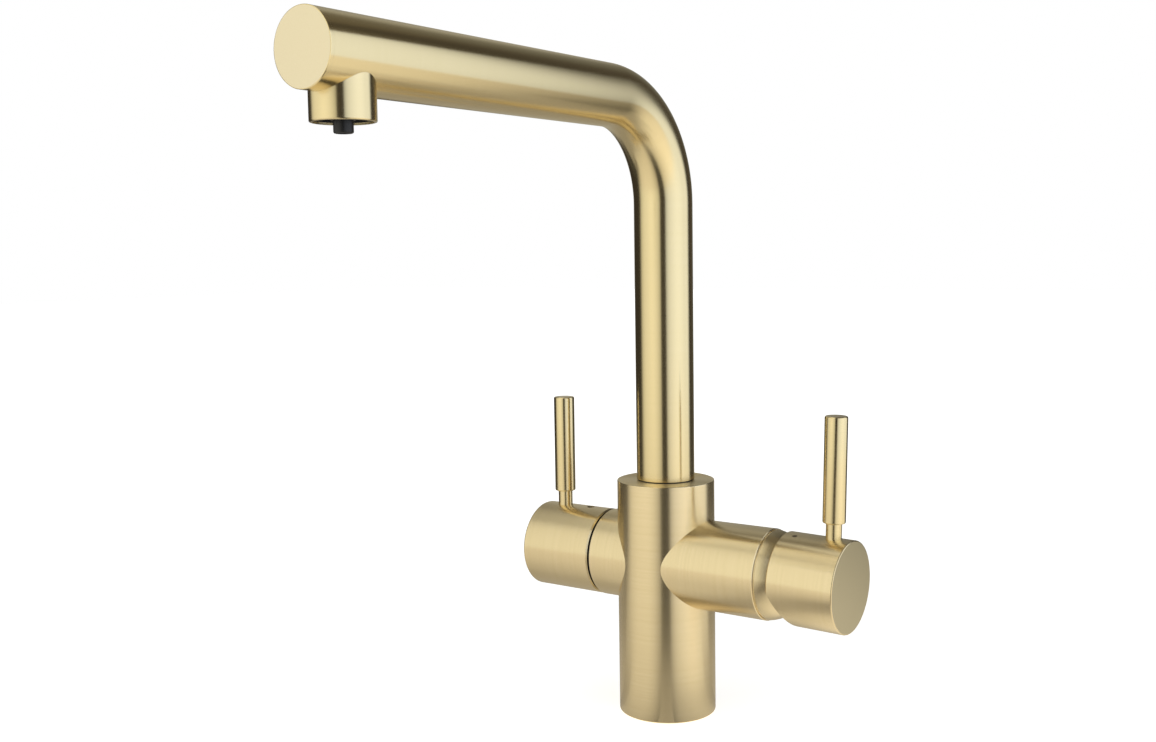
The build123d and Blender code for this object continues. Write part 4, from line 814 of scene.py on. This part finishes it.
# %% Body
GROOVE_IN, GROOVE_OUT, GROOVE_DEEP = 19.55, 21.95, 2.0
FOOT_ROUND = 1.0
BUSH_SEAT, BUSH_SEAT_FLOOR = 12.34, 113.25
SOCKET, SOCKET_FLOOR = 10.95, 92.0
CHAMBER, CHAMBER_FLOOR = 7.0, 80.0
SCREW_HOLE, SCREW_HEIGHT = 2.42, 98.0
body_section = (
    [(0, 0), (GROOVE_IN, 0), (GROOVE_IN, GROOVE_DEEP), (GROOVE_OUT, GROOVE_DEEP), (GROOVE_OUT, 0),
     (BODY_RADIUS - FOOT_ROUND, 0)]
    + arc(BODY_RADIUS - FOOT_ROUND, FOOT_ROUND, FOOT_ROUND, -90, 0, 6)[1:]
    + [(BODY_RADIUS, 40), (BODY_RADIUS, 80), (BODY_RADIUS, BODY_TOP - 0.35),
       (BODY_RADIUS - 0.1, BODY_TOP - 0.1), (BODY_RADIUS - 0.35, BODY_TOP), (BUSH_SEAT, BODY_TOP),
       (BUSH_SEAT, BUSH_SEAT_FLOOR), (SOCKET, BUSH_SEAT_FLOOR), (SOCKET, SOCKET_FLOOR), (CHAMBER, SOCKET_FLOOR),
       (CHAMBER, CHAMBER_FLOOR), (0, CHAMBER_FLOOR)])
body = turned("body_column", body_section, LARGE_SIDES)
cut(body,
    thread_cutter("hot_thread", PORT_CORE, PORT_DEPTH, PORT_PITCH, PORT_OUT, PORT_SIDE),
    thread_cutter("cold_thread", PORT_CORE, PORT_DEPTH, PORT_PITCH, PORT_OUT, -PORT_SIDE),
    thread_cutter("filter_thread", PORT_CORE, PORT_DEPTH, PORT_PITCH, FILTER_PORT_OUT, 0),
    thread_cutter("stud_thread_1", STUD_CORE, STUD_DEPTH, STUD_PITCH, STUD_OUT, STUD_SIDE),
    thread_cutter("stud_thread_2", STUD_CORE, STUD_DEPTH, STUD_PITCH, STUD_OUT, -STUD_SIDE),
    rod_cutter("screw_hole", SCREW_HOLE, 8, 26, (0, 0, SCREW_HEIGHT), (-90, 0, 0)))
give_grain(body, along_z, satin_brass, lathe_faced_brass)
smooth(body)
settle(body, "root", "tap_body")

# %% [markdown]
# ## The arms
#
# Both arms are turned, hollowed for their valves and cut to a saddle where they meet the body. The joint is
# brazed and brushed over, so all that shows is the sharp line where two cylinders cross. Joining the meshes
# would work as well, but the arms stay separate pieces, as they are before brazing.

# %% Arms
ARM_ROOT = 6.0
mixer_arm = laid_along(turned("mixer_arm_tube", [
    (0, ARM_ROOT), (ARM_RADIUS, ARM_ROOT), (ARM_RADIUS, 40), (ARM_RADIUS, MIXER_ARM_END - 0.3),
    (ARM_RADIUS - 0.3, MIXER_ARM_END), (17.7, MIXER_ARM_END), (17.7, 25.4), (0, 25.4)],
    LARGE_SIDES), "mixer")
filter_arm = laid_along(turned("filter_arm_tube", [
    (0, ARM_ROOT), (ARM_RADIUS, ARM_ROOT), (ARM_RADIUS, FILTER_ARM_END - 0.3),
    (ARM_RADIUS - 0.3, FILTER_ARM_END), (11.3, FILTER_ARM_END), (11.3, 30.6), (9.42, 30.6), (9.42, 27.0),
    (0, 27.0)], LARGE_SIDES), "filter")
for arm_piece, node in ((mixer_arm, "mixer_arm"), (filter_arm, "filter_arm")):
    cut(arm_piece, rod_cutter("body_round", BODY_RADIUS, 40, 112, sides=LARGE_SIDES))
    give_grain(arm_piece, along_x, satin_brass, faced_brass)
    smooth(arm_piece)
    settle(arm_piece, "root", node)

# %% [markdown]
# ## The domed collar
#
# Between the mixer's arm and its cap sits a domed collar, a zone of a ball whose centre is the handle's
# pivot. The cap can tilt over it without opening a gap. A UV sphere cut at two heights would give the dome,
# but the collar is one turned piece with its skirt, so the ball's zone is just more stations.

# %% Collar
COLLAR_FOOT = MIXER_ARM_END + 0.8
COLLAR_INSIDE = 20.0
COLLAR_MOUTH = 37  # degrees from the arm's axis


def ball_zone(radius, start, end, steps):
    """Stations on a ball round the pivot, angles in degrees from the arm's axis."""
    return [
        (radius * math.sin(math.radians(start + (end - start) * i / steps)),
         PIVOT_OUT + radius * math.cos(math.radians(start + (end - start) * i / steps)))
        for i in range(steps + 1)]


collar_start = math.degrees(math.acos((COLLAR_FOOT + 0.3 - PIVOT_OUT) / ARM_RADIUS))
inner_start = math.degrees(math.acos((COLLAR_FOOT - PIVOT_OUT) / COLLAR_INSIDE))
collar = laid_along(turned("domed_collar", (
    [(15.4, 54.3), (17.68, 54.3), (17.68, 59.12), (20.85, 59.12), (20.85, COLLAR_FOOT), (21.15, COLLAR_FOOT)]
    + ball_zone(ARM_RADIUS, collar_start, COLLAR_MOUTH, 30)
    + ball_zone(COLLAR_INSIDE, COLLAR_MOUTH, inner_start, 20)
    + [(15.4, COLLAR_FOOT), (15.4, 54.3)]), LARGE_SIDES), "mixer")
give_grain(collar, along_x, satin_brass, faced_brass)
smooth(collar)
settle(collar, "root", "mixer_collar")

# %% [markdown]
# ## The caps
#
# Each cap is a turned cup on a middle boss. The mixer's cap has its lower half cut away on a slant, because
# there the rim comes down towards the arm when the handle is opened. A hole on top takes the lever's neck, a
# small one underneath lets a key reach the grub screw, and a shallow seat takes the brown dot. Any large
# block could mill the slant. Here it is a cube whose front is sliced off, so one sloping face sets the cut.

# %% Mixer cap
LEVER_HOLE = 3.7
KEY_HOLE = 2.02
DOT_SEAT, DOT_FLOOR, DOT_TURN = 1.22, 20.58, 11.7
PAST_CAP = 25  # a cutter's end, outside the cap


def slanted_wedge():
    """The wedge that is cut from under the mixer cap's rim: a block with its front sliced off on the slant."""
    start_clean()
    bpy.ops.mesh.primitive_cube_add(
        size=1, scale=(mm(20.42), mm(60), mm(27.4)), location=(mm(70.21), 0, mm(ARM_HEIGHT - 16.3)))
    wedge = bpy.context.object
    wedge.name = "rim_wedge"
    bpy.ops.object.transform_apply(location=True, rotation=True, scale=True)
    bpy.ops.object.mode_set(mode="EDIT")
    bpy.ops.mesh.select_all(action="SELECT")
    bpy.ops.mesh.bisect(
        plane_co=(mm(66.0), 0, mm(ARM_HEIGHT - 2.6)), plane_no=(1.0, 0, 10.0 / 19.0), use_fill=True,
        clear_outer=True)
    bpy.ops.mesh.select_all(action="SELECT")
    bpy.ops.mesh.normals_make_consistent(inside=False)
    bpy.ops.object.mode_set(mode="OBJECT")
    return wedge


def cap_stations(rim, end, rim_break, mouth, mouth_end, hollow, boss, floor):
    """Half section of a cap: flat end, side, rim, mouth, hollow and boss. Radii and distances out in mm."""
    return [
        (0, end), (CAP_RADIUS - 0.5, end), (CAP_RADIUS - 0.12, end - 0.15), (CAP_RADIUS, end - 0.5),
        (CAP_RADIUS, (rim + end) / 2), (CAP_RADIUS, rim + rim_break), (CAP_RADIUS - rim_break, rim),
        (mouth, rim), (mouth, mouth_end), (hollow, mouth_end), (hollow, floor), (boss, floor),
        (boss, mouth_end), (0, mouth_end)]


mixer_cap = laid_along(turned("mixer_cap_cup", cap_stations(
    rim=66.0, end=98.5, rim_break=0.5, mouth=19.88, mouth_end=78.15, hollow=18.6, boss=8.5, floor=94.5),
    LARGE_SIDES), "mixer")
cut(mixer_cap,
    slanted_wedge(),
    cross_hole(MIXER_LEVER_OUT, LEVER_HOLE, 10, PAST_CAP),
    cross_hole(82.35, KEY_HOLE, 10, PAST_CAP, 180),
    cross_hole(72.0, DOT_SEAT, DOT_FLOOR, PAST_CAP, DOT_TURN))
give_grain(mixer_cap, along_x, satin_brass, matt_faced_brass)
smooth(mixer_cap)
drooped(mixer_cap)
settle(mixer_cap, "mixer_handle", "mixer_cap")

# %% [markdown]
# ### The filter's cap
#
# The filter's cap only turns, so its rim is whole. It comes from the same stations with its own sizes. Its
# screw is on top, where the photograph shows a small dark hole.

# %% Filter cap
filter_cap = laid_along(turned("filter_cap_cup", cap_stations(
    rim=33.7, end=73.4, rim_break=0.6, mouth=19.2, mouth_end=42.3, hollow=18.6, boss=9.0, floor=69.4),
    LARGE_SIDES), "filter")
cut(filter_cap, cross_hole(FILTER_LEVER_OUT, LEVER_HOLE, 10, PAST_CAP), cross_hole(-45.6, KEY_HOLE, 10, PAST_CAP))
give_grain(filter_cap, along_x, satin_brass, matt_faced_brass)
smooth(filter_cap)
settle(filter_cap, "filter_handle", "filter_cap")

# %% [markdown]
# ## The pin levers
#
# A lever is one turned rod: a thin neck that screws into the cap, a square shoulder and the 10.6 mm grip
# with a small round at its top. It is brushed more finely than the body, so its reflections are crisper.
# Both levers come from the same stations, each with its own mesh.

# %% Levers
NECK_RADIUS, NECK_ROOT = 3.65, 6.0
SHOULDER = 28.9
GRIP_RADIUS = 5.3
GRIP_TOP, GRIP_ROUND = 78.1, 0.8
grip_side_end = GRIP_TOP - GRIP_ROUND
lever_stations = (
    [(0, NECK_ROOT), (NECK_RADIUS, NECK_ROOT), (NECK_RADIUS, SHOULDER), (4.75, SHOULDER), (5.1, 29.05),
     (GRIP_RADIUS, 29.5), (GRIP_RADIUS, 50), (GRIP_RADIUS, grip_side_end)]
    + arc(GRIP_RADIUS - GRIP_ROUND, grip_side_end, GRIP_ROUND, 0, 90, 6)[1:]
    + [(0, GRIP_TOP)])


def lever_at(name, out):
    """A lever standing on the arms' axis at its distance out."""
    lever = set_down(turned(name, lever_stations, 128), (out, 0, ARM_HEIGHT))
    give_grain(lever, lambda p: (p.z, p.x - mm(out), p.y), fine_brass, faced_brass)
    return smooth(lever, 20)


mixer_lever = drooped(lever_at("mixer_pin_lever", MIXER_LEVER_OUT))
settle(mixer_lever, "mixer_handle", "mixer_lever")
filter_lever = lever_at("filter_pin_lever", FILTER_LEVER_OUT)
settle(filter_lever, "filter_handle", "filter_lever")

# %% [markdown]
# ## The spout
#
# The spout is one brass tube, bent to a quarter turn. A circle is drawn at its foot, extruded up the column,
# spun round the bend and extruded along the reach, and then Solidify gives it its wall. A bevelled curve
# would give the same tube, but a spin makes the bend a true arc with its rings square to it.

# %% Spout tube
column_rings = (SPOUT_FOOT, 160.0, 205.0, SPOUT_HEIGHT - SPOUT_BEND)
reach_rings = (SPOUT_BEND, 100.0, 160.0, SPOUT_END)
start_clean()
bpy.ops.mesh.primitive_circle_add(
    vertices=ROUND_SIDES, radius=mm(TUBE_RADIUS), location=(0, 0, mm(SPOUT_FOOT)), fill_type="NOTHING")
spout = bpy.context.object
spout.name = "spout_pipe"
bpy.ops.object.transform_apply(location=True, rotation=True, scale=True)
bpy.ops.object.mode_set(mode="EDIT")
bpy.ops.mesh.select_mode(type="EDGE")
bpy.ops.mesh.select_all(action="SELECT")
for low, high in zip(column_rings, column_rings[1:]):
    bpy.ops.mesh.extrude_edges_move(TRANSFORM_OT_translate={"value": (0, 0, mm(high - low))})
bpy.ops.mesh.spin(
    steps=60, angle=math.radians(90), center=(0, mm(-SPOUT_BEND), mm(SPOUT_HEIGHT - SPOUT_BEND)),
    axis=(-1, 0, 0))
bpy.ops.object.mode_set(mode="OBJECT")
print("after the spin the spout reaches", [round(c, 4) for c in (
    min(v.co.y for v in spout.data.vertices), max(v.co.z for v in spout.data.vertices))])
bpy.ops.object.mode_set(mode="EDIT")
for near, far in zip(reach_rings, reach_rings[1:]):
    bpy.ops.mesh.extrude_edges_move(TRANSFORM_OT_translate={"value": (0, mm(near - far), 0)})
bpy.ops.mesh.select_all(action="SELECT")
bpy.ops.mesh.remove_doubles(threshold=mm(SEAM))
bpy.ops.mesh.normals_make_consistent(inside=False)
bpy.ops.object.mode_set(mode="OBJECT")
wall = spout.modifiers.new("wall", "SOLIDIFY")
wall.thickness = mm(TUBE_WALL)
wall.offset = -1
bpy.ops.object.modifier_apply(modifier=wall.name)
cut(spout, rod_cutter("water_hole", 8.0, 280, 299, (0, -NOZZLE_OUT, 0)))
give_grain(spout, along_spout, fine_brass, faced_brass)
smooth(spout, 10)
settle(spout, "spout", "spout_tube")

# %% [markdown]
# ## The spout's end
#
# A flat disc closes the spout, with a plug that centres it in the tube. Its rim is broken by 0.4 mm, which
# catches the light as a thin bright line. It is turned from its plug outwards, so the plug's inner end is
# still open and is closed with one face.

# %% Spout end
DISC_SEAT = SPOUT_END + 0.02
DISC_FACE = 230.1
end_cap = turned("spout_end_disc", [
    (10.7, 228.0), (10.7, 224.5), (12.73, 224.5), (12.73, DISC_SEAT), (TUBE_RADIUS, DISC_SEAT),
    (TUBE_RADIUS, 229.7), (14.13, 229.98), (13.85, DISC_FACE), (0, DISC_FACE)])
pick(end_cap)
bpy.ops.object.mode_set(mode="EDIT")
bpy.ops.mesh.select_all(action="DESELECT")
bpy.ops.mesh.select_non_manifold()
bpy.ops.mesh.edge_face_add()
bpy.ops.mesh.select_all(action="SELECT")
bpy.ops.mesh.normals_make_consistent(inside=False)
bpy.ops.object.mode_set(mode="OBJECT")
set_down(end_cap, (0, 0, SPOUT_HEIGHT), (90, 0, 0))
give_grain(end_cap, lambda p: (-p.y, p.x, p.z - mm(SPOUT_HEIGHT)), fine_brass, faced_brass)
smooth(end_cap, 20)
settle(end_cap, "spout", "spout_end_cap")

# %% [markdown]
# ## The nozzle
#
# A short round housing is brazed under the spout, cut to the tube's curve. It holds a black aerator with
# the small outlet for filtered water in its middle. The saddle is cut with a rod as wide as the tube, which
# leaves the housing's top edge lying on it all round.

# %% Nozzle housing
NOZZLE_RADIUS, NOZZLE_BORE, NOZZLE_MOUTH = 12.0, 10.75, 275.6
housing = turned("nozzle_shell", [
    (NOZZLE_BORE, NOZZLE_MOUTH), (11.5, NOZZLE_MOUTH), (11.85, 275.75), (NOZZLE_RADIUS, 276.1),
    (NOZZLE_RADIUS, 287.0), (NOZZLE_RADIUS, SPOUT_HEIGHT), (NOZZLE_BORE, SPOUT_HEIGHT),
    (NOZZLE_BORE, NOZZLE_MOUTH)], 160)
set_down(housing, (0, -NOZZLE_OUT, 0))
cut(housing, rod_cutter(
    "saddle_round", TUBE_RADIUS + 0.02, 150, 240, (0, 0, SPOUT_HEIGHT), (90, 0, 0), ROUND_SIDES))
give_grain(housing, lambda p: (p.z, p.x, p.y + mm(NOZZLE_OUT)), fine_brass, faced_brass)
smooth(housing, 20)
settle(housing, "spout", "nozzle_housing")

# %% [markdown]
# ### The filter's outlet
#
# The filtered water leaves through a small black acetal tube with a rounded lip, 4 mm below the housing. It
# is moulded on the real tap, and turned from stations here, because it is round all along.

# %% Filter outlet
outlet = turned("filter_outlet", [
    (1.9, 271.7), (2.9, 271.7), (3.3, 271.8), (3.52, 272.05), (3.6, 272.4), (3.6, 282.92), (4.52, 282.92),
    (4.52, 284.32), (3.0, 284.32), (3.0, 296.28), (1.9, 296.28), (1.9, 271.7)], 96)
one_finish(set_down(outlet, (0, -NOZZLE_OUT, 0)), black_acetal)
settle(outlet, "spout", "filter_nozzle")

# %% [markdown]
# ## The thin rings
#
# Two thin rings show only as dark lines: the flange of the bush that the column turns on, and the ring in
# the gap behind the filter's cap. A dark line could be painted on, but it would vanish in other views, so
# both are real rings in real gaps.

# %% Rings
FLANGE_TOP = BODY_TOP + 0.6
bush = turned("bush_flange", [
    (10.95, 113.27), (12.32, 113.27), (12.32, BODY_TOP), (13.6, BODY_TOP), (13.75, BODY_TOP + 0.15),
    (13.75, FLANGE_TOP), (10.95, FLANGE_TOP), (10.95, 113.27)])
one_finish(bush, black_acetal)
settle(bush, "root", "spout_bush")
gap_ring = laid_along(turned("gap_ring", [
    (14.6, 32.22), (20.3, 32.22), (20.45, 32.4), (20.45, 33.3), (20.3, 33.45), (14.6, 33.45), (14.6, 32.22)]),
    "filter")
one_finish(gap_ring, black_acetal)
settle(gap_ring, "root", "filter_gap_ring")

# %% [markdown]
# ## Finishes for the pieces that keep their CAD shape
#
# The seals, discs, cartridge parts and screws are right as they come, so they only need their material. A
# table of finish and pieces is easier to check against the parts list than a line of code for each.

# %% Carried-over nodes
kept_finishes = {
    machined_brass: ["cartridge_nut", "filter_valve_body", "filter_spindle", "spout_spigot"],
    stainless_steel: ["spout_grub_screw", "lever_pivot_pin", "mixer_grub_screw", "filter_grub_screw",
                      "spindle_clip", "cartridge_stem", "aerator_screen"],
    black_acetal: ["aerator_cage", "flow_straightener"],
    brown_enamel: ["mixer_index_dot"],
    grey_nylon: ["cartridge_housing", "cartridge_turret", "disc_carrier", "filter_elbow"],
    lapped_alumina: ["cartridge_fixed_disc", "cartridge_moving_disc", "filter_fixed_disc",
                     "filter_turning_disc"],
    nitrile_rubber: ["base_seal", "filter_tube_seal", "cartridge_seals", "filter_valve_oring",
                     "filter_seat_seal", "spindle_oring", "spigot_orings", "aerator_washer"],
    tube_polythene: ["filter_tube"],
}
for finish, names in kept_finishes.items():
    for name in names:
        nodes[name].data.materials.clear()
        nodes[name].data.materials.append(finish)
print("carried over:", sum(len(names) for names in kept_finishes.values()), "nodes")
